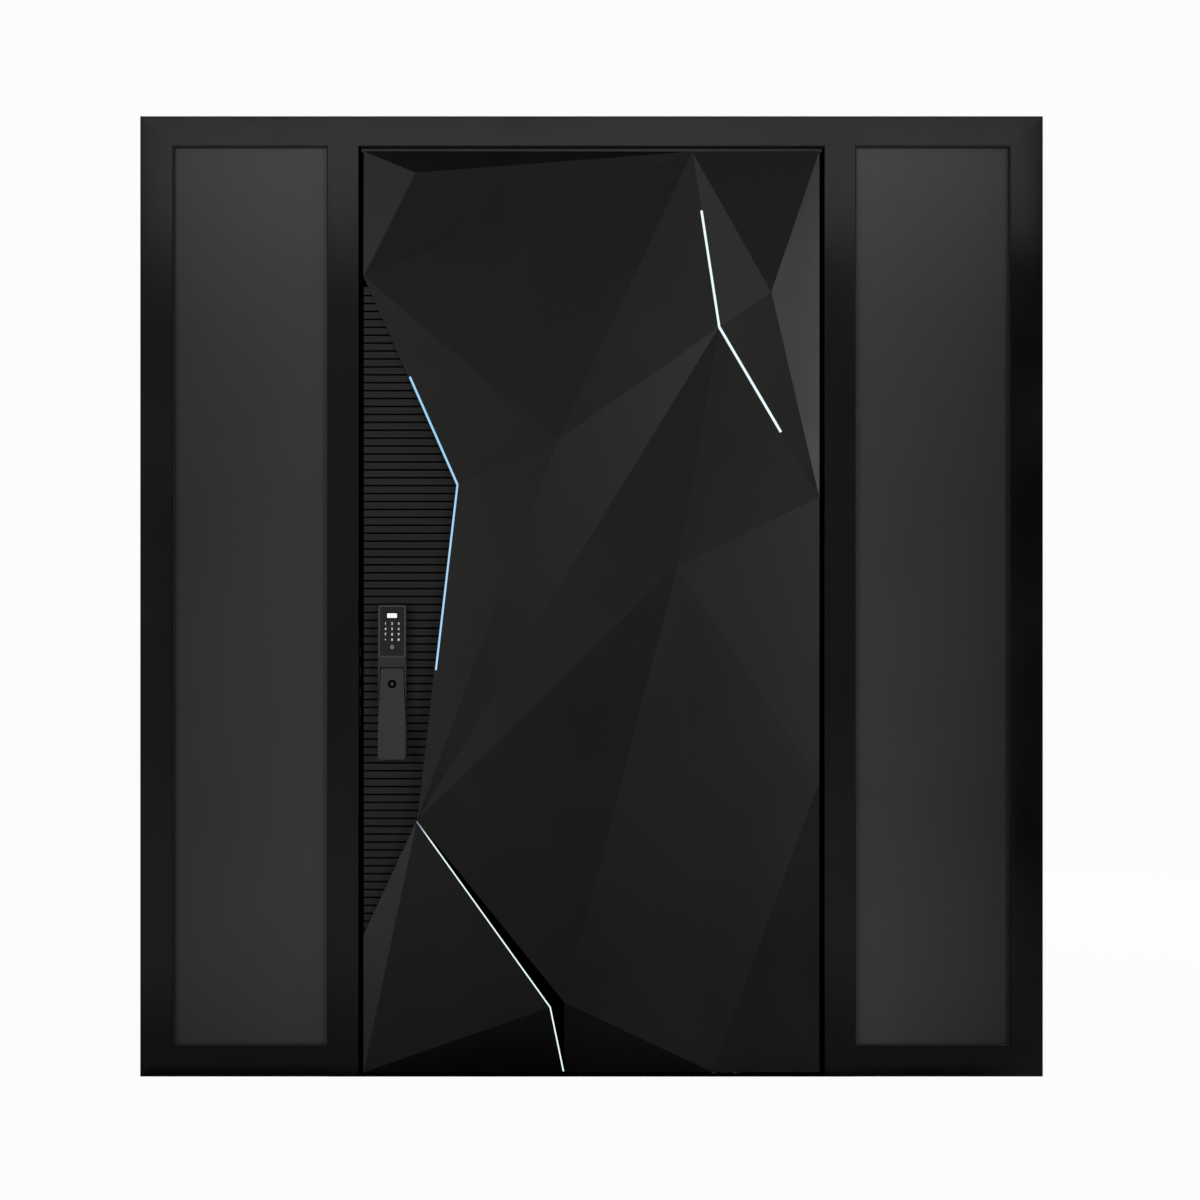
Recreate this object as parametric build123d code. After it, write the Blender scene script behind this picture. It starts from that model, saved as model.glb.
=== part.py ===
from build123d import *
from math import atan2, degrees, hypot
import os

# Pivot entrance door: box frame with two fixed side windows and a faceted leaf on a floor pivot.
# Millimetres. X runs right as seen from outside, Y points indoors, Z is up.
# The origin is under the threshold, midway between the mullions, on the leaf's pivot plane.

# Frame
frame_height = 2496.0
opening_width = 1212.0
side_window_width = 404.0
jamb_face = 84.0
mullion_face = 79.0
head_face = 76.0
bottom_rail_face = 79.0
frame_depth = 120.0
frame_chamfer = 2.5
threshold_thickness = 4.0

# Fixing holes through the jambs, clear of the glazing
fixing_radius = 5.1
fixing_from_end = 250.0
fixing_count = 4
fixing_from_back = 20.0

# Side windows
glass_thickness = 20.0
glass_edge_gap = 1.0
glass_behind_front = 18.0
gasket_thickness = 2.0
gasket_width = 3.0
outer_bead_width = 4.0
outer_bead_depth = 12.0
inner_bead_width = 12.0
inner_bead_depth = 20.0
bead_edge_chamfer = 1.0

# Leaf
leaf_thickness = 80.0
leaf_side_gap = 7.0
leaf_top_gap = 6.0
leaf_bottom_gap = 6.0
sheet_thickness = 4.0
stile_width = 70.0
rail_height = 90.0
rim_side = 6.5
rim_top = 8.0
rim_bottom = 1.0

# Pivots, on an axis near the right edge of the leaf
pivot_inset = 252.0
spindle_radius = 12.0
spindle_engagement = 40.0
shoulder_radius = 24.0
pivot_flange_radius = 45.0
top_pin_radius = 10.0
top_pin_engagement = 35.0
top_plate_length = 100.0
top_plate_width = 40.0
top_plate_thickness = 6.0
shoe_length = 140.0
shoe_width = 52.0
socket_length = 80.0
bearing_roof = 10.0
running_clearance = 0.05
seat_clearance = 0.3

# Stops with their seals, indoors on the latch side
stop_reach = 18.0
seal_thickness = 4.0
seal_width = 8.0
stop_gap = 5.0
tail_clearance = 15.0

# Seals in the gap beside and over the part of the leaf that swings indoors
gap_seal_reach = 4.0
gap_seal_height = 4.5
gap_seal_behind_axis = 24.0
gap_seal_depth = 16.0

# Seal under the leaf, clear of the pivot
foot_seal_height = 4.5
foot_seal_depth = 10.0
foot_seal_from_front = 10.0
foot_seal_pivot_gap = 6.0

# Relief of the leaf: height of each corner in front of the leaf's front sheet
height_top_left = 12.0
height_brow = 36.0
height_panel_top = 14.0
height_top_break = 6.0
height_top_right = 15.0
height_right_peak = 45.0
height_right_upper = 14.0
height_light_bend = 6.0
height_middle_peak = 60.0
height_panel_bend = 35.0
height_right_ridge = 57.0
height_right_lower = 5.0
height_panel_foot = 58.0
height_left_tip = 22.0
height_low_left = 20.0
height_low_lip = 70.0
height_low_meet = 5.0
height_cleft = 64.0
height_low_break = 15.0
height_low_right = 15.0

# Relief of the leaf: places of the corners, from the nearest edges of the relief
brow_from_left = 137.0
brow_from_top = 59.0
panel_top_from_top = 325.0
top_break_from_right = 330.0
right_peak_from_right = 127.0
right_peak_from_top = 369.0
right_upper_from_top = 901.0
light_bend_from_right = 260.0
light_bend_from_top = 457.0
middle_peak_from_left = 503.0
middle_peak_from_top = 755.0
panel_bend_from_left = 241.0
panel_bend_from_top = 869.0
right_ridge_from_right = 371.0
right_ridge_from_top = 1082.0
right_lower_from_bottom = 756.0
panel_foot_from_left = 141.0
panel_foot_from_bottom = 658.0
left_tip_from_bottom = 358.0
low_lip_from_left = 488.0
low_lip_from_bottom = 177.0
low_meet_from_left = 522.0
cleft_from_bottom = 188.0
low_break_from_right = 279.0

# Light strips let into the relief
left_light_width = 7.6
upper_light_width = 8.4
light_depth = 4.0
light_proud = 0.8
light_side_clearance = 0.2
left_light_upper_arm = 307.0
left_light_lower_arm = 484.0
upper_light_upper_arm = 308.0
upper_light_lower_arm = 318.0
low_light_start_width = 4.6
low_light_width = 4.8

# Ribbed panel
rib_panel_thickness = 12.0
rib_panel_top_cut = 28.0
rib_pitch = 20.6
rib_groove_width = 4.0
rib_groove_depth = 8.0
rib_panel_gap = 0.5

# Lock outside
lock_from_left = 82.0
lock_bottom_height = 826.0
lock_width = 72.0
lock_height = 398.0
lock_plate_depth = 8.0
lock_head_depth = 28.0
lock_corner_radius = 5.0
keypad_width = 62.0
keypad_height = 127.0
keypad_from_top = 3.0
keypad_depth = 2.5
keypad_clearance = 0.2
keypad_corner_radius = 4.0

# Lock grip, hung on a pin between two cheeks
grip_height = 235.0
grip_top_width = 58.0
grip_bottom_width = 71.0
grip_flare_height = 145.0
grip_top_depth = 12.0
grip_bottom_depth = 15.0
grip_top_gap = 5.0
grip_bottom_gap = 27.0
grip_side_gap = 2.0
grip_head_gap = 4.0
grip_pin_radius = 2.5
grip_pin_from_top = 12.0
grip_pin_seat = 3.0
sensor_from_top = 40.0
sensor_radius = 11.4
sensor_button_radius = 5.0
sensor_ring_depth = 1.2
sensor_depth = 4.0

# Lock inside and on the leaf's edge
inner_lock_width = 68.0
inner_lock_height = 330.0
inner_lock_depth = 32.0
inner_lock_fillet = 6.0
turn_radius = 17.0
turn_depth = 8.0
turn_bar_width = 9.0
turn_bar_depth = 16.0
turn_from_top = 60.0
faceplate_width = 26.0
faceplate_height = 250.0
faceplate_thickness = 3.0
bolt_width = 14.0
bolt_height = 24.0
bolt_length = 20.0
bolt_count = 4
bolt_pitch = 52.0
bolt_clearance = 0.4
strike_pocket_depth = 22.0

# Places that follow from the sizes
half_opening = opening_width / 2
half_width = half_opening + mullion_face + side_window_width + jamb_face
front = -frame_depth / 2
back = frame_depth / 2
opening_top = frame_height - head_face
leaf_left = -half_opening + leaf_side_gap
leaf_right = half_opening - leaf_side_gap
leaf_bottom = threshold_thickness + leaf_bottom_gap
leaf_top = opening_top - leaf_top_gap
leaf_front = -leaf_thickness / 2
leaf_back = leaf_thickness / 2
pivot_x = leaf_right - pivot_inset
relief_left = leaf_left + rim_side
relief_right = leaf_right - rim_side
relief_bottom = leaf_bottom + rim_bottom
relief_top = leaf_top - rim_top
lock_x = leaf_left + lock_from_left
lock_back = leaf_front - rib_panel_thickness
lock_top_height = lock_bottom_height + lock_height
lock_middle_height = lock_bottom_height + lock_height / 2

nodes = {}


def block(x, y, z):
    """A box between two limits along each of X, Y and Z."""
    spans = (x, y, z)
    middle = [(low + high) / 2 for low, high in spans]
    return Pos(*middle) * Box(*[high - low for low, high in spans])


def slab(outline, y):
    """A flat outline of (x, z) points, made solid between two limits along Y."""
    low, high = y
    face = Face(Wire.make_polygon([(px, low, pz) for px, pz in outline]))
    return Part() + extrude(face, high - low, dir=(0, 1, 0))


def turned(profile, x, y):
    """A profile of (radius, height) points turned about a vertical axis."""
    face = Face(Wire.make_polygon([(r, 0, z) for r, z in profile]))
    return Pos(x, y, 0) * revolve(face, Axis.Z)


def edges_at(part, axis, **place):
    """Edges of a part that run along an axis with their middle at the given coordinates."""
    chosen = part.edges().filter_by(axis)
    for name, value in place.items():
        chosen = chosen.filter_by(lambda e: abs(getattr(e.center(), name) - value) < 0.01)
    return chosen


def beside(line, offsets):
    """Points of a line that runs beside an open (x, z) line, at an offset to its left at each point."""
    runs = [(b[0] - a[0], b[1] - a[1]) for a, b in zip(line, line[1:])]
    lefts = [(-dz / hypot(dx, dz), dx / hypot(dx, dz)) for dx, dz in runs]
    before = [lefts[0]] + lefts
    after = lefts + [lefts[-1]]
    shifted = []
    for (px, pz), (ax, az), (bx, bz), offset in zip(line, before, after, offsets):
        mitre = offset / (1 + ax * bx + az * bz)
        shifted.append((px + mitre * (ax + bx), pz + mitre * (az + bz)))
    return shifted


def band(line, left, right):
    """The outline between two lines beside an open line, one on each side of it."""
    return beside(line, left) + beside(line, [-offset for offset in right])[::-1]


def along(start, towards, distance):
    """The (x, z) point at a distance from one point towards another."""
    share = distance / hypot(towards[0] - start[0], towards[1] - start[1])
    return tuple(a + share * (b - a) for a, b in zip(start, towards))


# Frame members, mitred at the outer corners
def mitred_jamb(side):
    """A jamb with fixing holes, mitred to the head and to the bottom rail."""
    outer = side * half_width
    inner = side * (half_width - jamb_face)
    outline = [(outer, 0), (inner, bottom_rail_face), (inner, opening_top), (outer, frame_height)]
    jamb = slab(outline, (front, back))
    jamb = chamfer(edges_at(jamb, Axis.Z, X=outer, Y=front), frame_chamfer)
    pitch = (frame_height - 2 * fixing_from_end) / (fixing_count - 1)
    for step in range(fixing_count):
        height = fixing_from_end + step * pitch
        hole = Rot(Y=90) * Cylinder(fixing_radius, 3 * jamb_face)
        jamb -= Pos(outer, back - fixing_from_back, height) * hole
    return jamb


def bottom_rail(side):
    """The rail under a side window, mitred to the jamb and butted to the mullion."""
    outer = side * half_width
    corner = side * (half_width - jamb_face)
    inner = side * (half_opening + mullion_face)
    outline = [(outer, 0), (corner, bottom_rail_face), (inner, bottom_rail_face), (inner, 0)]
    rail = slab(outline, (front, back))
    return chamfer(edges_at(rail, Axis.X, Z=0, Y=front), frame_chamfer)


def mullion(side):
    """An upright between a side window and the doorway."""
    limits = sorted((side * half_opening, side * (half_opening + mullion_face)))
    return block(limits, (front, back), (0, opening_top))


head_outline = [
    (-half_width, frame_height),
    (half_width, frame_height),
    (half_width - jamb_face, opening_top),
    (-half_width + jamb_face, opening_top),
]
head = slab(head_outline, (front, back))
head = chamfer(edges_at(head, Axis.X, Z=frame_height, Y=front), frame_chamfer)
top_plate = block(
    (pivot_x - top_plate_length / 2, pivot_x + top_plate_length / 2),
    (-top_plate_width / 2, top_plate_width / 2),
    (opening_top, opening_top + top_plate_thickness),
)
nodes["head_rail"] = head - top_plate
nodes["left_jamb"] = mitred_jamb(-1)
nodes["right_jamb"] = mitred_jamb(1)
nodes["left_bottom_rail"] = bottom_rail(-1)
nodes["right_bottom_rail"] = bottom_rail(1)
nodes["left_mullion"] = mullion(-1)
nodes["right_mullion"] = mullion(1)

threshold = block((-half_opening, half_opening), (front, back), (0, threshold_thickness))
flange_hole = Cylinder(pivot_flange_radius + running_clearance, 3 * threshold_thickness)
nodes["threshold"] = threshold - Pos(pivot_x, 0, 0) * flange_hole


# Side windows: a pane between gaskets, held by loose beads on both faces
def bead_ring(x, y, z, width, sharp_y):
    """Four glazing beads round a window, with the edge next to the frame eased on one face."""
    upright_left = block((x[0], x[0] + width), y, z)
    upright_right = block((x[1] - width, x[1]), y, z)
    across = (x[0] + width, x[1] - width)
    lower = block(across, y, (z[0], z[0] + width))
    upper = block(across, y, (z[1] - width, z[1]))
    upright_left = chamfer(edges_at(upright_left, Axis.Z, X=x[0], Y=sharp_y), bead_edge_chamfer)
    upright_right = chamfer(edges_at(upright_right, Axis.Z, X=x[1], Y=sharp_y), bead_edge_chamfer)
    lower = chamfer(edges_at(lower, Axis.X, Z=z[0], Y=sharp_y), bead_edge_chamfer)
    upper = chamfer(edges_at(upper, Axis.X, Z=z[1], Y=sharp_y), bead_edge_chamfer)
    return Compound(upright_left.solids() + upright_right.solids() + lower.solids() + upper.solids())


def gasket_ring(x, y, z):
    """A flat rubber ring round the edge of a pane."""
    hole = block((x[0] + gasket_width, x[1] - gasket_width), y, (z[0] + gasket_width, z[1] - gasket_width))
    return block(x, y, z) - hole


def side_window(name, side):
    """Pane, gaskets and beads of one side window."""
    x = sorted((side * (half_opening + mullion_face), side * (half_width - jamb_face)))
    z = (bottom_rail_face, opening_top)
    pane_x = (x[0] + glass_edge_gap, x[1] - glass_edge_gap)
    pane_z = (z[0] + glass_edge_gap, z[1] - glass_edge_gap)
    glass_front = front + glass_behind_front
    glass_back = glass_front + glass_thickness
    outer_y = (glass_front - gasket_thickness, glass_front)
    inner_y = (glass_back, glass_back + gasket_thickness)
    outer_bead_y = (outer_y[0] - outer_bead_depth, outer_y[0])
    inner_bead_y = (inner_y[1], inner_y[1] + inner_bead_depth)
    outer_gasket = gasket_ring(pane_x, outer_y, pane_z)
    inner_gasket = gasket_ring(pane_x, inner_y, pane_z)
    nodes[name + "_glass"] = block(pane_x, (glass_front, glass_back), pane_z)
    nodes[name + "_gaskets"] = Compound(outer_gasket.solids() + inner_gasket.solids())
    nodes[name + "_outer_beads"] = bead_ring(x, outer_bead_y, z, outer_bead_width, outer_bead_y[0])
    nodes[name + "_inner_beads"] = bead_ring(x, inner_bead_y, z, inner_bead_width, inner_bead_y[1])


side_window("left", -1)
side_window("right", 1)

# Stops indoors on the latch side, ending short of the part of the leaf that swings indoors
stop_y = (leaf_back + stop_gap + seal_thickness, back)
seal_y = (leaf_back + stop_gap, leaf_back + stop_gap + seal_thickness)
stop_x = (-half_opening, -half_opening + stop_reach)
head_stop_x = (stop_x[1], pivot_x - leaf_thickness / 2 - tail_clearance)
head_stop_z = (opening_top - stop_reach, opening_top)
nodes["latch_stop"] = block(stop_x, stop_y, (threshold_thickness, opening_top))
nodes["head_stop"] = block(head_stop_x, stop_y, head_stop_z)
latch_seal = block((stop_x[1] - seal_width, stop_x[1]), seal_y, (threshold_thickness, head_stop_z[0]))
head_seal = block(head_stop_x, seal_y, (head_stop_z[0], head_stop_z[0] + seal_width))
nodes["stop_seals"] = Compound(latch_seal.solids() + head_seal.solids())
gap_seal_y = (gap_seal_behind_axis, gap_seal_behind_axis + gap_seal_depth)
gap_seal_z = (opening_top - gap_seal_height, opening_top)
gap_seal_x = (half_opening - gap_seal_reach, half_opening)
upright_seal = block(gap_seal_x, gap_seal_y, (threshold_thickness, opening_top))
over_seal = block((head_stop_x[1], half_opening), gap_seal_y, gap_seal_z)
nodes["gap_seals"] = upright_seal + over_seal

# Seal under the leaf
foot_seal_y = (leaf_front + foot_seal_from_front, leaf_front + foot_seal_from_front + foot_seal_depth)
foot_seal_z = (leaf_bottom - foot_seal_height, leaf_bottom)
foot_seal_gap = shoulder_radius + foot_seal_pivot_gap
long_seal = block((leaf_left, pivot_x - foot_seal_gap), foot_seal_y, foot_seal_z)
short_seal = block((pivot_x + foot_seal_gap, leaf_right), foot_seal_y, foot_seal_z)
nodes["foot_seals"] = Compound(long_seal.solids() + short_seal.solids())

# Pivots
spindle_top = leaf_bottom + spindle_engagement
pin_bottom = leaf_top - top_pin_engagement
bottom_profile = [
    (0, 0),
    (pivot_flange_radius, 0),
    (pivot_flange_radius, threshold_thickness),
    (shoulder_radius, threshold_thickness),
    (shoulder_radius, leaf_bottom - seat_clearance),
    (spindle_radius, leaf_bottom - seat_clearance),
    (spindle_radius, spindle_top),
    (0, spindle_top),
]
pin_profile = [(0, pin_bottom), (top_pin_radius, pin_bottom), (top_pin_radius, opening_top), (0, opening_top)]
shoe_bore = [
    (0, leaf_bottom),
    (spindle_radius + running_clearance, leaf_bottom),
    (spindle_radius + running_clearance, spindle_top + seat_clearance),
    (0, spindle_top + seat_clearance),
]
socket_bore = [
    (0, pin_bottom - seat_clearance),
    (top_pin_radius + running_clearance, pin_bottom - seat_clearance),
    (top_pin_radius + running_clearance, leaf_top),
    (0, leaf_top),
]
shoe_y = (-shoe_width / 2, shoe_width / 2)
shoe_block = block(
    (pivot_x - shoe_length / 2, pivot_x + shoe_length / 2),
    shoe_y,
    (leaf_bottom, spindle_top + seat_clearance + bearing_roof),
)
socket_block = block(
    (pivot_x - socket_length / 2, pivot_x + socket_length / 2),
    shoe_y,
    (pin_bottom - seat_clearance - bearing_roof, leaf_top),
)
nodes["bottom_pivot"] = turned(bottom_profile, pivot_x, 0)
nodes["top_pivot"] = top_plate + turned(pin_profile, pivot_x, 0)
nodes["bottom_pivot_shoe"] = shoe_block - turned(shoe_bore, pivot_x, 0)
nodes["top_pivot_socket"] = socket_block - turned(socket_bore, pivot_x, 0)

# Leaf: stiles and rails between a front sheet and a back panel
core_y = (leaf_front + sheet_thickness, leaf_back - sheet_thickness)
leaf_x = (leaf_left, leaf_right)
leaf_z = (leaf_bottom, leaf_top)
rail_x = (leaf_left + stile_width, leaf_right - stile_width)
faceplate_y = (-faceplate_width / 2, faceplate_width / 2)
faceplate_z = (lock_middle_height - faceplate_height / 2, lock_middle_height + faceplate_height / 2)
faceplate = block((leaf_left, leaf_left + faceplate_thickness), faceplate_y, faceplate_z)
strike_x = (-half_opening - faceplate_thickness, -half_opening)
strike = block(strike_x, faceplate_y, faceplate_z)


def bolt_blocks(x, grow):
    """A row of lock bolts, or of the slots that they pass through."""
    first = lock_middle_height - (bolt_count - 1) * bolt_pitch / 2
    y = (-bolt_width / 2 - grow, bolt_width / 2 + grow)
    half = bolt_height / 2 + grow
    heights = [first + step * bolt_pitch for step in range(bolt_count)]
    return Compound([block(x, y, (height - half, height + half)).solid() for height in heights])


bolt_slots = bolt_blocks((leaf_left, leaf_left + bolt_length), bolt_clearance)
strike_slots = bolt_blocks((strike_x[1] - strike_pocket_depth, strike_x[1]), bolt_clearance)
nodes["latch_stile"] = block((leaf_left, rail_x[0]), core_y, leaf_z) - faceplate - bolt_slots
nodes["pivot_stile"] = block((rail_x[1], leaf_right), core_y, leaf_z)
nodes["leaf_top_rail"] = block(rail_x, core_y, (leaf_top - rail_height, leaf_top)) - socket_block
nodes["leaf_bottom_rail"] = block(rail_x, core_y, (leaf_bottom, leaf_bottom + rail_height)) - shoe_block
nodes["front_sheet"] = block(leaf_x, (leaf_front, core_y[0]), leaf_z)
nodes["back_panel"] = block(leaf_x, (core_y[1], leaf_back), leaf_z)
nodes["lock_faceplate"] = faceplate - bolt_slots
nodes["lock_bolts"] = bolt_blocks((leaf_left, leaf_left + bolt_length), 0)
nodes["left_mullion"] = nodes["left_mullion"] - strike - strike_slots
nodes["strike_plate"] = strike - strike_slots

# Corners of the relief as (x, z, height)
corners = {
    "top_left": (relief_left, relief_top, height_top_left),
    "brow": (relief_left + brow_from_left, relief_top - brow_from_top, height_brow),
    "panel_top": (relief_left, relief_top - panel_top_from_top, height_panel_top),
    "top_break": (relief_right - top_break_from_right, relief_top, height_top_break),
    "top_right": (relief_right, relief_top, height_top_right),
    "right_peak": (relief_right - right_peak_from_right, relief_top - right_peak_from_top, height_right_peak),
    "right_upper": (relief_right, relief_top - right_upper_from_top, height_right_upper),
    "light_bend": (relief_right - light_bend_from_right, relief_top - light_bend_from_top, height_light_bend),
    "middle_peak": (
        relief_left + middle_peak_from_left,
        relief_top - middle_peak_from_top,
        height_middle_peak,
    ),
    "panel_bend": (relief_left + panel_bend_from_left, relief_top - panel_bend_from_top, height_panel_bend),
    "right_ridge": (
        relief_right - right_ridge_from_right,
        relief_top - right_ridge_from_top,
        height_right_ridge,
    ),
    "right_lower": (relief_right, relief_bottom + right_lower_from_bottom, height_right_lower),
    "panel_foot": (
        relief_left + panel_foot_from_left,
        relief_bottom + panel_foot_from_bottom,
        height_panel_foot,
    ),
    "left_tip": (relief_left, relief_bottom + left_tip_from_bottom, height_left_tip),
    "low_left": (relief_left, relief_bottom, height_low_left),
    "low_lip": (relief_left + low_lip_from_left, relief_bottom + low_lip_from_bottom, height_low_lip),
    "low_meet": (relief_left + low_meet_from_left, relief_bottom, height_low_meet),
    "cleft": (relief_left + low_meet_from_left, relief_bottom + cleft_from_bottom, height_cleft),
    "low_break": (relief_right - low_break_from_right, relief_bottom, height_low_break),
    "low_right": (relief_right, relief_bottom, height_low_right),
}

main_facets = [
    ("top_left", "brow", "panel_top"),
    ("top_left", "top_break", "brow"),
    ("brow", "top_break", "panel_top"),
    ("panel_top", "top_break", "middle_peak"),
    ("panel_top", "middle_peak", "panel_bend"),
    ("top_break", "light_bend", "middle_peak"),
    ("top_break", "right_peak", "light_bend"),
    ("top_break", "top_right", "right_peak"),
    ("top_right", "right_upper", "right_peak"),
    ("right_peak", "right_upper", "light_bend"),
    ("light_bend", "right_upper", "right_ridge"),
    ("right_upper", "right_lower", "right_ridge"),
    ("panel_bend", "middle_peak", "panel_foot"),
    ("middle_peak", "light_bend", "panel_foot"),
    ("light_bend", "right_ridge", "panel_foot"),
    ("right_ridge", "cleft", "panel_foot"),
    ("right_ridge", "low_break", "cleft"),
    ("right_ridge", "right_lower", "low_break"),
    ("right_lower", "low_right", "low_break"),
    ("cleft", "low_break", "low_meet"),
]

lower_facets = [
    ("panel_foot", "low_lip", "low_left"),
    ("panel_foot", "low_left", "left_tip"),
    ("low_lip", "low_meet", "low_left"),
]


def spot(name):
    """The (x, z) place of a corner of the relief."""
    return corners[name][:2]


def faceted_solid(facets):
    """A closed solid on the leaf's front sheet, with flat three-cornered facets on its front."""
    skin = {name: (x, leaf_front - height, z) for name, (x, z, height) in corners.items()}
    foot = {name: (x, leaf_front, z) for name, (x, z, height) in corners.items()}
    faces = [Face(Wire.make_polygon([skin[name] for name in facet])) for facet in facets]
    sides = [side for a, b, c in facets for side in ((a, b), (b, c), (c, a))]
    rim = {a: b for a, b in sides if (b, a) not in sides}
    faces += [Face(Wire.make_polygon([skin[a], skin[b], foot[b], foot[a]])) for a, b in rim.items()]
    loop = [facets[0][0]]
    while rim[loop[-1]] != loop[0]:
        loop.append(rim[loop[-1]])
    faces.append(Face(Wire.make_polygon([foot[name] for name in loop])))
    return Part() + Solid(Shell(faces))


main_relief = faceted_solid(main_facets)
lower_relief = faceted_solid(lower_facets)


def light_in(relief, line, left, right):
    """A strip that follows the facets along a line, and the slot for it in the relief."""
    reach = (leaf_front - 2 * leaf_thickness, leaf_front)
    proud = Pos(0, -light_proud, 0) * relief
    floor = Pos(0, light_depth, 0) * relief
    strip = slab(band(line, left, right), reach) & proud
    grow = light_side_clearance
    wide = band(line, [offset + grow for offset in left], [offset + grow for offset in right])
    return strip - floor, slab(wide, reach) - floor


bend = spot("panel_bend")
left_line = [
    along(bend, spot("panel_top"), left_light_upper_arm),
    bend,
    along(bend, spot("panel_foot"), left_light_lower_arm),
]
left_light, left_slot = light_in(main_relief, left_line, [left_light_width] * 3, [0.0] * 3)

bend = spot("light_bend")
upper_line = [
    along(bend, spot("top_break"), upper_light_upper_arm),
    bend,
    along(bend, spot("right_upper"), upper_light_lower_arm),
]
half_widths = [upper_light_width / 2] * 3
upper_light, upper_slot = light_in(main_relief, upper_line, half_widths, half_widths)

low_line = [spot("panel_foot"), spot("low_lip"), spot("low_meet")]
low_widths = [low_light_start_width, low_light_width, low_light_width]
lower_light, lower_slot = light_in(lower_relief, low_line, [0.0] * 3, low_widths)

nodes["faceted_plate"] = main_relief - left_slot - upper_slot
nodes["lower_plate"] = lower_relief - lower_slot
nodes["left_light"] = left_light
nodes["upper_light"] = upper_light
nodes["lower_light"] = lower_light

# Ribbed panel, cut flat at its top and grooved across
panel_front = leaf_front - rib_panel_thickness
panel_top = relief_top - panel_top_from_top - rib_panel_top_cut
panel_edge = [spot("panel_top"), spot("panel_bend"), spot("panel_foot"), spot("left_tip")]
panel = slab(beside(panel_edge, [-rib_panel_gap] * 4), (panel_front, leaf_front))
panel &= block((relief_left, relief_right), (panel_front, leaf_front), (relief_bottom, panel_top))
groove_y = (panel_front, panel_front + rib_groove_depth)
groove_count = int((panel_top - relief_bottom - left_tip_from_bottom) / rib_pitch)
grooves = []
for step in range(1, groove_count + 1):
    height = panel_top - step * rib_pitch
    grooves.append(block((relief_left, relief_right), groove_y, (height - rib_groove_width, height)))
nodes["ribbed_panel"] = panel - grooves

# Lock outside: a plate with a deep head, and two cheeks that carry the grip's pin
lock_x_span = (lock_x - lock_width / 2, lock_x + lock_width / 2)
plate_front = lock_back - lock_plate_depth
head_front = lock_back - lock_head_depth
grip_top = lock_bottom_height + grip_height
head_bottom = grip_top + grip_head_gap
pin_height = grip_top - grip_pin_from_top
pin_y = plate_front - grip_top_gap - grip_top_depth / 2
cheek_top_inner = grip_top_width / 2 + grip_side_gap


def lock_cheek(side):
    """A wedge beside the top of the grip."""
    outer = lock_x + side * lock_width / 2
    inner = lock_x + side * cheek_top_inner
    outline = [(inner, head_bottom), (outer, head_bottom), (outer, head_bottom - grip_flare_height)]
    return slab(outline, (head_front, lock_back))


lock_plate = block(lock_x_span, (plate_front, lock_back), (lock_bottom_height, lock_top_height))
lock_head = block(lock_x_span, (head_front, lock_back), (head_bottom, lock_top_height))
lock_shell = lock_plate + lock_head + lock_cheek(-1) + lock_cheek(1)
deep_edges = lock_shell.edges().filter_by(Axis.Y)
corner_edges = [e for e in deep_edges if abs(e.center().Z - lock_middle_height) > lock_height / 2 - 1]
lock_shell = fillet(corner_edges, lock_corner_radius)
keypad_z = (lock_top_height - keypad_from_top - keypad_height, lock_top_height - keypad_from_top)
keypad_y = (head_front, head_front + keypad_depth)


def keypad_block(grow):
    """The keypad's plate, or the recess for it."""
    half = keypad_width / 2 + grow
    plate = block((lock_x - half, lock_x + half), keypad_y, (keypad_z[0] - grow, keypad_z[1] + grow))
    return fillet(plate.edges().filter_by(Axis.Y), keypad_corner_radius + grow)


pin_axis = Pos(lock_x, pin_y, pin_height) * Rot(Y=90)
pin_length = 2 * (cheek_top_inner + grip_pin_seat)
lock_shell -= keypad_block(keypad_clearance)
lock_shell -= pin_axis * Cylinder(grip_pin_radius + running_clearance, pin_length + 2 * running_clearance)
nodes["lock_body"] = lock_shell
nodes["lock_keypad"] = keypad_block(0)
nodes["grip_pin"] = pin_axis * Cylinder(grip_pin_radius, pin_length)

# Lock grip: a wedge that stands further out towards its foot
grip_back_top = plate_front - grip_top_gap
grip_back_foot = plate_front - grip_bottom_gap
side_profile = [
    (0, grip_back_top, grip_top),
    (0, grip_back_top - grip_top_depth, grip_top),
    (0, grip_back_foot - grip_bottom_depth, lock_bottom_height),
    (0, grip_back_foot, lock_bottom_height),
]
wedge = Part() + extrude(Face(Wire.make_polygon(side_profile)), lock_width, dir=(1, 0, 0))
wedge = Pos(lock_x - lock_width / 2, 0, 0) * wedge
half_top = grip_top_width / 2
half_foot = grip_bottom_width / 2
grip_outline = [
    (lock_x - half_top, grip_top),
    (lock_x + half_top, grip_top),
    (lock_x + half_foot, grip_top - grip_flare_height),
    (lock_x + half_foot, lock_bottom_height),
    (lock_x - half_foot, lock_bottom_height),
    (lock_x - half_foot, grip_top - grip_flare_height),
]
grip = wedge & slab(grip_outline, (grip_back_foot - grip_bottom_depth, grip_back_top))
foot_edges = grip.edges().filter_by(lambda e: e.center().Z < lock_bottom_height + 1)
foot_corners = foot_edges.filter_by(Axis.X, reverse=True)
grip = fillet(foot_corners, lock_corner_radius)
grip -= pin_axis * Cylinder(grip_pin_radius + running_clearance, 2 * lock_width)

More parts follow.
